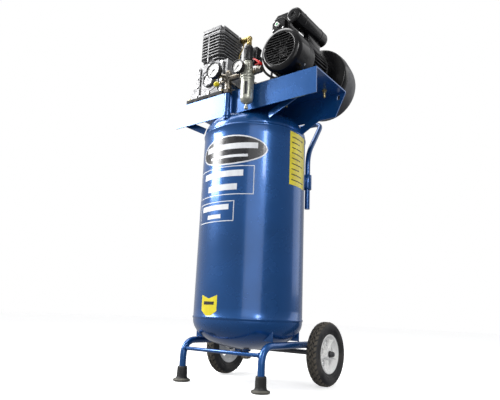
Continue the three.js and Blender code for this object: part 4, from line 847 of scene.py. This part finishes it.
b = B()
oo = [at(97.0, out(92, 119, 1147, 990)), at(90, out(91.5, 118.7, 1144, 992.5)), at(80, out(89.6, 117.8, 1134, 997.3)), at(76.5, out(88.6, 117.2, 1130.4, 999.4)), at(74, out(87.0, 116.2, 1128.2, 1001.6)), at(72.6, out(85.2, 114.8, 1126.8, 1005)), at(72, out(83.5, 113, 1125, 1008))]
ii = [at(97.0, out(90, 117, 1145, 992)), at(80, out(87.6, 115.8, 1132, 999.3)), at(75, out(84.2, 113.6, 1125.5, 1005.5)), at(74, out(82, 111, 1123, 1010))]
shell(b, oo, ii)
cu = B().rod("y", 13, 60, 90, (PX, ZC), 40, 0.1).rod("y", 22, 60, 90, (MX, MZ), 40, 0.1)
obj("guard_front", b, BLACK, "base", "belt_guard_inner", cut=cu, sharp=40)
b = B().box(20, 64, 12, 74, 983.4, 987.4, 1.0, 3).box(20, 64, 70, 73.6, 984, 1046, 1.0, 1.0)
b.hexa("z", 10, 987, 993, (42, 32), 0.2)
obj("guard_bracket", b, BLACK, "base", "belt_guard_inner")
b = B()
oo = [at(97.4, out(92, 119, 1147.2, 990)), at(99, out(92.4, 119.0, 1148, 989.6)), at(103, out(92.6, 119.0, 1149.4, 989.2)), at(112, out(93, 119, 1152, 988)), at(130, out(93, 119, 1154.2, 987, -1.4, -2.8)), at(150, out(93, 119, 1156, 986, -3, -6)), at(162, out(92.2, 118.2, 1155.4, 987, -3.5, -8)), at(172, out(90, 116, 1153, 989, -4, -10)), at(177, out(87.4, 113.4, 1150, 991.4, -4, -10)), at(180.4, out(84, 110, 1146, 994.6, -4, -10)), at(182, out(79, 105, 1141, 999, -4, -10))]
ii = [at(97.4, out(90, 117, 1145, 992)), at(112, out(91, 117, 1150, 990)), at(150, out(91, 117, 1154, 988, -3, -6)), at(172, out(88, 114, 1151, 991, -4, -10)), at(179.6, out(78, 104, 1140, 1000, -4, -10))]
shell(b, oo, ii)
cu = None
obj("guard_back", b, GPLAS, "base", "belt_guard_outer", sharp=40)
b = B()
for cx, cz, rr, n_ in ((PX, ZC, 62, 9), (209, 1064, 78, 11)):
    for k in range(n_):
        dz = (k - (n_ - 1) / 2) * 13
        w = math.sqrt(max(1, rr * rr - dz * dz))
        b.pad(rrect(cx - w, cx + w, cz + dz - 2.2, cz + dz + 2.2, 2.1, 5), 181, 183.4, "y", 0.9, 2)
obj("guard_back_ribs", b, GPLAS, "base", ())
b = B()
for x, z in ((PX - 60, 1127), (PX - 60, 1022), (20, 1146), (20, 995), (300, 1140), (300, 1012)):
    b.rod("y", 4.2, 92.5, 103, (x, z), 24, 1.0)
obj("guard_screws", b, BPLAS, "base", ())

# ------------------------------------------------------------------ discharge line and fittings
b = B().rod("x", 7.4, -89, -67, (-20, 1276), 28).hexa("x", 21, -69.4, -57, (-20, 1276), 0.0, 1.2).rod("x", 10, -59, -33, (-20, 1276), 36)
b.ball(11.5, (-33, -20, 1276), 36, 18).rod("z", 9.5, 1256, 1276, CK, 36).hexa("z", 20, 1244, 1257.6, CK, 0.1, 1.2)
b.hexa("z", 10, 1142, 1156, (-62, -44), 0.2)
b.hexa("z", 17, 968, 979, CK, 0.3)
for k in range(4):
    b.rev([(9.8 + 0.5 * math.cos(q * PI / 2), -50 + k * 2.4 + 0.7 * math.sin(q * PI / 2)) for q in range(5)], "x", (-20, 1276), 36)
obj("discharge_elbow", b, BRASS, "base", "discharge_pipe")
b = B().rod("z", 5.8, 968, 1260, CK, 36).rod("z", 7.6, 1237, 1244.6, CK, 36, 1.2).rod("z", 7.4, 978.6, 984, CK, 36, 1.2)
obj("discharge_riser", b, CHROME, "base", "discharge_pipe")


def smooth(pts, n=10):
    P = [Vector(p) for p in pts]
    out_ = []
    for i in range(len(P) - 1):
        p0, p1, p2, p3 = P[max(i - 1, 0)], P[i], P[i + 1], P[min(i + 2, len(P) - 1)]
        for j in range(n):
            t_ = j / n
            out_.append(0.5 * ((2 * p1) + (p2 - p0) * t_ + (2 * p0 - 5 * p1 + 4 * p2 - p3) * t_ ** 2 + (3 * p1 - p0 - 3 * p2 + p3) * t_ ** 3))
    out_.append(P[-1])
    return out_


b = B().tube(smooth([(-62, -44, 1154), (-62, -44, 1172), (-66, -36, 1205), (-60, -26, 1236), (-57.5, -20, 1270)], 12), 2.4, 18)
obj("unloader_line", b, BRASS, "base", "discharge_pipe")
b = B().rod("z", 7.6, 944, 953, CK, 32).hexa("z", 24, 951.6, 962, CK, 0.0, 1.3).rod("z", 9, 960, 974, CK, 36)
obj("check_valve_fine", b, BRASS, "base", "check_valve")

p = (5, -177)
b = B().rev(fillet([(0, 872), (11, 872), (11, 879), (13.4, 881), (13.4, 897), (11, 899), (11, 966), (0, 966)], [0, 1, 1, 1.5, 1.5, 1, 0.8, 0], 4), "z", p, 40)
obj("riser_fine", b, BLUE, "base", "riser_pipe")


def arm(b, a, c, r, n=28):
    b.tube([lerp(a, c, i / 4) for i in range(5)], r, n)


b = B().hexa("z", 27, 966.6, 981, p, 0.2, 1.5).rod("z", 12, 980, 1042, p, 40, 1).ball(12.6, (p[0], p[1], 1042), 36, 18)
b.rod("z", 13.2, 990, 993, p, 40, 0.6).rod("z", 13.2, 1002, 1005, p, 40, 0.6)
arm(b, (5, -177, 1030), (-30, -186, 1042), 7)
b.rod("y", 8, -195, -180, (-30, 1042), 28).hexa("y", 14, -196, -188, (-30, 1042))
b.rod("x", 10, 5, 52, (-178, 1022), 36).hexa("x", 18, 50, 60, (-178, 1022), 0.1).rod("x", 6.2, 60, 73.4, (-178, 1022), 28)
b.rod("x", 8, -20, 5, (-180, 1016), 28).rod("x", 5.5, -32, -18, (-180, 1016), 24).hexa("x", 15, -27, -20, (-180, 1016), 0.2)
b.rod("y", 8, -177, -158, (11, 1004), 28).hexa("y", 17, -160, -150, (11, 1004))
b.rod("y", 7.5, -151, -126, (11, 1004), 32)
b.rod("z", 6.5, 1030, 1065.6, (76, -160), 28).hexa("z", 14, 1052, 1062, (76, -160), 0.2)
arm(b, (46, -176, 1024), (76, -160, 1034), 7)
obj("manifold_fine", b, DNICK, "base", "manifold")
b = B().rod("y", 2.4, -138, -118, (11, 1004), 20)
b.tube([(11, -110 + 9 * math.cos(q * PI / 24), 1004 + 9 * math.sin(q * PI / 24)) for q in range(48)], 1.6, 16, closed=True)
obj("safety_ring_fine", b, STEEL, "safety_ring", "safety_ring")


def text_mesh(txt, size, x, y, z):
    c = bpy.data.curves.new("num", "FONT")
    c.body = txt
    c.size = size * S
    c.extrude = 0.00008
    c.align_x, c.align_y = "CENTER", "CENTER"
    o = bpy.data.objects.new("num", c)
    scene.collection.objects.link(o)
    bpy.context.view_layer.update()
    me = bpy.data.meshes.new_from_object(o.evaluated_get(bpy.context.evaluated_depsgraph_get()))
    me.transform(Matrix.Translation(W((x, y, z))) @ Matrix.Rotation(PI / 2, 4, "X"))
    bpy.data.objects.remove(o)
    return me


for nm, x, z, r, d, marks in (("tank_gauge", -30, 1046, 30, 23, 16), ("outlet_gauge", 79, 1030, 24, 21, 12)):
    y = -226
    c = (x, z)
    b = B().rev(fillet([(0, y + 5.4), (r - 3.0, y + 5.4), (r - 2.4, y + 0.4), (r - 0.6, y + 0.2), (r, y + 2), (r, y + 6), (r - 1.2, y + 7), (r - 1.2, y + d - 4), (r - 4, y + d), (0, y + d)], [0, 0.3, 0.6, 0.8, 0.8, 0.5, 0.5, 2, 2, 0], 4), "y", c, 80)
    if nm == "tank_gauge":
        b.rod("y", 5.5, y + d - 1, -195.4, (x, z - 4), 24).hexa("y", 14, -203, -196, (x, z - 4))
    else:
        b.rod("y", 5.5, y + d - 1, -199.4, c, 24)
    obj(nm + "_case_fine", b, BPLAS, "base", nm)
    b = B().rev([(0, y + 4.9), (r - 3.9, y + 4.9), (r - 3.7, y + 4.5), (r - 3.0, y + 4.5), (r - 2.9, y + 5.5), (0, y + 5.5)], "y", c, 64)
    obj(nm + "_dial", b, DIAL, "base", ())
    b = B()
    n_ = 40
    for k in range(n_ + 1):
        a = math.radians(225 - 270 * k / n_)
        r1, r0 = r - 4.2, r - (7.6 if k % 10 == 0 else (6.6 if k % 5 == 0 else 5.6))
        w = 0.42 if k % 10 == 0 else 0.2
        u, v = Vector((math.cos(a), math.sin(a))), Vector((-math.sin(a), math.cos(a)))
        q = [u * r0 - v * w, u * r1 - v * w, u * r1 + v * w, u * r0 + v * w]
        b.prism([(x + k_.x, z + k_.y) for k_ in q], y + 4.75, y + 4.95)
    ring_ = [(x + (r - 4.2) * math.cos(math.radians(225 - 270 * k / 60)), y + 4.85, z + (r - 4.2) * math.sin(math.radians(225 - 270 * k / 60))) for k in range(61)]
    b.tube(ring_, 0.22, 6)
    for v in b.bm.verts:
        v.co = W(v.co)
    for k in range(5):
        a = math.radians(225 - 270 * k / 4)
        tm = text_mesh(str(int(marks * k / 4)), r * 0.24, x + (r - 11.4) * math.cos(a), y + 4.8, z + (r - 11.4) * math.sin(a))
        b.bm.from_mesh(tm)
    obj(nm + "_scale", b, INK, "base", (), world=True)
    body = nm.replace("gauge", "needle")
    b = B().rod("y", 2.6, y + 2.3, y + 4.6, c, 28, 0.5)
    a = math.radians(225)
    u, v = Vector((math.cos(a), math.sin(a))), Vector((-math.sin(a), math.cos(a)))
    q = [u * -7 - v * 1.1, u * 0 - v * 1.0, u * (r * 0.68) - v * 0.22, u * (r * 0.68) + v * 0.22, u * 0 + v * 1.0, u * -7 + v * 1.1]
    b.prism([(x + k_.x, z + k_.y) for k_ in q], y + 3.0, y + 4.1)
    obj(nm + "_needle_fine", b, INK, body, nm + "_needle")

# pressure switch
b = B()
R_ = []
for i, z in ((9.6, 1066), (9, 1067), (9, 1077.6), (7.4, 1078.4), (5.2, 1088), (0.6, 1114), (0.3, 1117.5), (1.2, 1120), (3, 1121.5), (4.4, 1122)):
    R_.append([(q[0], q[1], z) for q in rrect(60 + i, 118 - i, -168 + i * 0.6, -136 - i * 0.6, 6, 6)])
b.rings(R_)
b.rod("z", 3, 1121, 1123.5, (104, -152), 20)
obj("pressure_switch_fine", b, BPLAS, "base", "pressure_switch", sharp=35)
b = B().rod("z", 4, 1116, 1124, (82, -152), 20).rev(fillet([(0, 1123), (8, 1123), (8, 1130), (6.6, 1131), (0, 1131)], 0.8, 3), "z", (82, -152), 36).box(80.6, 83.4, -159, -145, 1130, 1131, 0.3)
obj("switch_knob_fine", b, RED, "switch_knob", "switch_knob")
b = B().rev(fillet([(0, -58), (5, -57), (9, -53), (9.6, -48), (8.6, -42), (6, -36), (0, -36)], [0, 1, 2, 2, 2, 1, 0], 4), "x", (-180, 1016), 40)
b.pad(rrect(-190.4, -169.6, 1012.6, 1019.4, 3.2, 5), -52, -42, "x", 1.2)
obj("cock_knob_fine", b, YEL, "cock_knob", "cock_knob")

# regulator and filter
f = (97, -188)
b = B().rev(fillet([(0, 995), (24, 995), (24, 1003.6), (18, 1006), (17, 1010), (17, 1050), (15.6, 1056), (0, 1056)], [0, 1, 1.5, 1.5, 2, 3, 2, 0], 4), "z", f, 64)
b.box(73.6, 99, -198.6, -177, 1014, 1044, 1.6, 3.0)
b.rod("x", 10, 97, 118, (-184, 1016), 40, 0.8).rod("x", 12.6, 108, 117.9, (-184, 1016), 40, 1.0)
b.box(84, 110, -206.3, -198, 1018, 1044, 1.2, 1.6)
for k in range(28):
    a = 2 * PI * k / 28
    b.box(f[0] + 23.4 * math.cos(a) - 1, f[0] + 23.4 * math.cos(a) + 1, f[1] + 23.4 * math.sin(a) - 1, f[1] + 23.4 * math.sin(a) + 1, 995.4, 1003, 0.3)
obj("regulator_body_fine", b, OLIVE, "base", "regulator_body")
b = B().rod("z", 6.4, 1049, 1060, f, 24)
pts = []
for k in range(24):
    for q, rr in ((0, 16.2), (0.42, 16.2), (0.56, 15.1), (0.86, 15.1)):
        a = 2 * PI * (k + q) / 24
        pts.append((f[0] + rr * math.cos(a), f[1] + rr * math.sin(a)))
b.pad(pts, 1058, 1106, "z", 0.5, 2)
b.rev(fillet([(0, 1104), (16.3, 1104), (16.3, 1108), (14, 1109.4), (14, 1113), (12, 1115), (0, 1115)], [0, 0.5, 1.2, 0.8, 1, 1.2, 0], 4), "z", f, 64)
b.rod("z", 16.4, 1058.2, 1062.4, f, 64, 0.8)
obj("regulator_knob_fine", b, BPLAS, "regulator_knob", "regulator_knob")
b = B().rev(fillet([(0, 903), (8, 903), (17, 908), (21.6, 916), (22.4, 924), (22.4, 994.6), (0, 994.6)], [0, 1, 3, 3, 3, 1, 0], 5), "z", f, 64)
b.rod("z", 4.5, 890, 905, f, 24).rod("z", 7, 884, 893, f, 32, 1.2)
b.rev(fillet([(22.2, 984), (23.4, 984), (23.4, 991), (22.2, 991), (22.2, 984)][:4], 0.5, 2, True) , "z", f, 64)
obj("filter_bowl_fine", b, OLIVE, "base", "filter_bowl")
b = B()
for a in (math.radians(-60), math.radians(120)):
    R_ = []
    for q in range(9):
        t_ = a + math.radians(-13 + 26 * q / 8)
        R_.append([(f[0] + rr * math.cos(t_), f[1] + rr * math.sin(t_), z) for rr, z in ((22.0, 928), (22.9, 929), (22.9, 974), (22.0, 975))])
    b.rings(R_)
obj("filter_window", b, GLASSY, "base", ())
v_ = (-184, 1016)
b = B().hexa("x", 20, 118.4, 127.4, v_, 0.1).rod("x", 10.5, 126, 144, v_, 36).ball(11.4, (135, -184, 1016), 32, 14).hexa("x", 20, 143, 148, v_, 0.1)
b.rev(fillet([(6, 146), (10, 146), (10, 153), (6, 153), (6, 146)][:4], 0.6, 2, True), "x", v_, 36)
b.rod("z", 5, 1016, 1034, (137, -184), 24).hexa("z", 10, 1026, 1031, (137, -184))
obj("ball_valve_fine", b, DNICK, "base", "ball_valve")
b = B().pad(fillet([(127, 1034.6), (147, 1034.6), (149, 1037), (148, 1044), (124, 1062), (118.4, 1062), (118.4, 1056), (139, 1040), (140, 1038), (127, 1038)], 1.4, 3, True), -192, -176, "y", 1.2, 3)
b.hexa("z", 8, 1038, 1042, (134, -184))
obj("valve_lever_fine", b, RED, "valve_lever", "valve_lever")
LEAD = [(109, -150, 1080), (122, -150, 1079), (126, -151, 1060), (138, -152, 1030), (158, -152, 1006), (180, -147, 992), (182, -136, 988.5), (165, -127, 988), (132, -125, 988), (118, -112, 991), (114, -88, 1005), (117, -78, 1040), (121, -74, 1120), (123, -72, 1168), (134, -72, 1180), (150, -72, 1180)]
b = B().tube(smooth(LEAD, 8), 4, 20)
b.rod("x", 6.6, 117.6, 124, (-150, 1079.4), 28, 1.2).rod("x", 6.4, 128, 137, (-72, 1180), 28, 1.2).hexa("x", 14, 132, 136.6, (-72, 1180))
obj("motor_lead_fine", b, RUBBER, "base", "motor_lead")

# ------------------------------------------------------------------ carried-over parts keep their shape and get real finishes
OVER = dict(bearing_front=STEEL, bearing_rear=STEEL, crankshaft=STEEL, flywheel=IRON, con_rod_front=ALU, con_rod_rear=ALU, piston_front=STEEL, piston_rear=STEEL, motor_rotor=BPLAS, motor_pulley=IRON, v_belt=RUBBER)
for n_, o in frame["nodes"].items():
    m = OVER.get(n_)
    if m is None:
        m = BLUE
    if len(o.data.materials) == 0:
        o.data.materials.append(m)
    for i in range(len(o.data.materials)):
        o.data.materials[i] = m

# ------------------------------------------------------------------ studio
b = bmesh.new()
prof = [(-9, 0), (3.4, 0)] + [(3.4 + 2.2 * math.sin(k * PI / 24), 2.2 - 2.2 * math.cos(k * PI / 24)) for k in range(1, 13)] + [(5.6, 9)]
FM = mk("floor_white", (0.90, 0.90, 0.90), 0.6, 0, col2=(0.78, 0.78, 0.78), vs=2, bump=0.02, bs=40, spec=0.2, emit=0.62)
fm = bpy.data.meshes.new("floor")
fl_ = bmesh.new()
for q in ((-14, -14), (14, -14), (14, 14), (-14, 14)):
    fl_.verts.new((q[0], q[1], 0))
fl_.faces.new(list(fl_.verts))
fl_.to_mesh(fm)
fm.materials.append(FM)
fo = bpy.data.objects.new("floor", fm)
scene.collection.objects.link(fo)
fo.visible_diffuse = False
fo.visible_glossy = False
fo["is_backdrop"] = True

w = bpy.data.worlds.new("studio")
scene.world = w
w.use_nodes = True
nt = w.node_tree
nt.nodes.clear()
N, L = nt.nodes.new, nt.links.new
wo = N("ShaderNodeOutputWorld")
mixs = N("ShaderNodeMixShader")
bgc, bgl = N("ShaderNodeBackground"), N("ShaderNodeBackground")
bgc.inputs[0].default_value = (1, 1, 1, 1)
bgc.inputs[1].default_value = 1.0
lp = N("ShaderNodeLightPath")
tc = N("ShaderNodeTexCoord")
sx = N("ShaderNodeSeparateXYZ")
L(tc.outputs["Generated"], sx.inputs[0])
ax = N("ShaderNodeMath")
ax.operation = "MULTIPLY"
ax.inputs[1].default_value = -0.7
L(sx.outputs[0], ax.inputs[0])
az = N("ShaderNodeMath")
az.operation = "ADD"
L(ax.outputs[0], az.inputs[0])
azz = N("ShaderNodeMath")
azz.operation = "MULTIPLY"
azz.inputs[1].default_value = 0.55
L(sx.outputs[2], azz.inputs[0])
L(azz.outputs[0], az.inputs[1])
rp_ = N("ShaderNodeValToRGB")
mr = N("ShaderNodeMapRange")
mr.inputs[1].default_value = -1.0
mr.inputs[2].default_value = 1.0
L(az.outputs[0], mr.inputs[0])
L(mr.outputs[0], rp_.inputs[0])
rp_.color_ramp.elements[0].color = (0.16, 0.17, 0.20, 1)
rp_.color_ramp.elements[1].color = (1.0, 1.0, 1.0, 1)
L(rp_.outputs[0], bgl.inputs[0])
bgl.inputs[1].default_value = 0.60
L(lp.outputs["Is Camera Ray"], mixs.inputs[0])
L(bgl.outputs[0], mixs.inputs[1])
L(bgc.outputs[0], mixs.inputs[2])
L(mixs.outputs[0], wo.inputs[0])


def area(name, az_, el, dist, sx_, sy_, power, target=(0, 0, 0.62), col=(1, 1, 1)):
    l = bpy.data.lights.new(name, "AREA")
    l.shape = "RECTANGLE"
    l.size, l.size_y = sx_, sy_
    l.energy = power
    l.color = col
    o = bpy.data.objects.new(name, l)
    scene.collection.objects.link(o)
    a, e = math.radians(az_), math.radians(el)
    d = Vector((math.sin(a) * math.cos(e), -math.cos(a) * math.cos(e), math.sin(e)))
    t_ = Vector(target)
    o.location = t_ + d * dist
    o.rotation_euler = (-d).to_track_quat("-Z", "Y").to_euler()
    o.visible_camera = False
    o.visible_glossy = name != "wheel_fill"
    return o


area("key_left", -51, 27, 2.6, 1.1, 1.35, 80)
area("broad_right", 42, 10, 2.8, 1.9, 2.2, 19)
area("strip_right", 57, 25, 2.6, 0.30, 0.8, 11)
area("top", -60, 68, 2.4, 1.6, 1.6, 38)
area("rim_back", 150, 20, 3.0, 1.6, 2.6, 12)
area("wheel_fill", 70, 6, 1.5, 0.5, 0.4, 4, target=(0.21, 0.12, 0.12))
scene.view_settings.view_transform = "Standard"
scene.view_settings.look = "None"

a0, a1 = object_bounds()
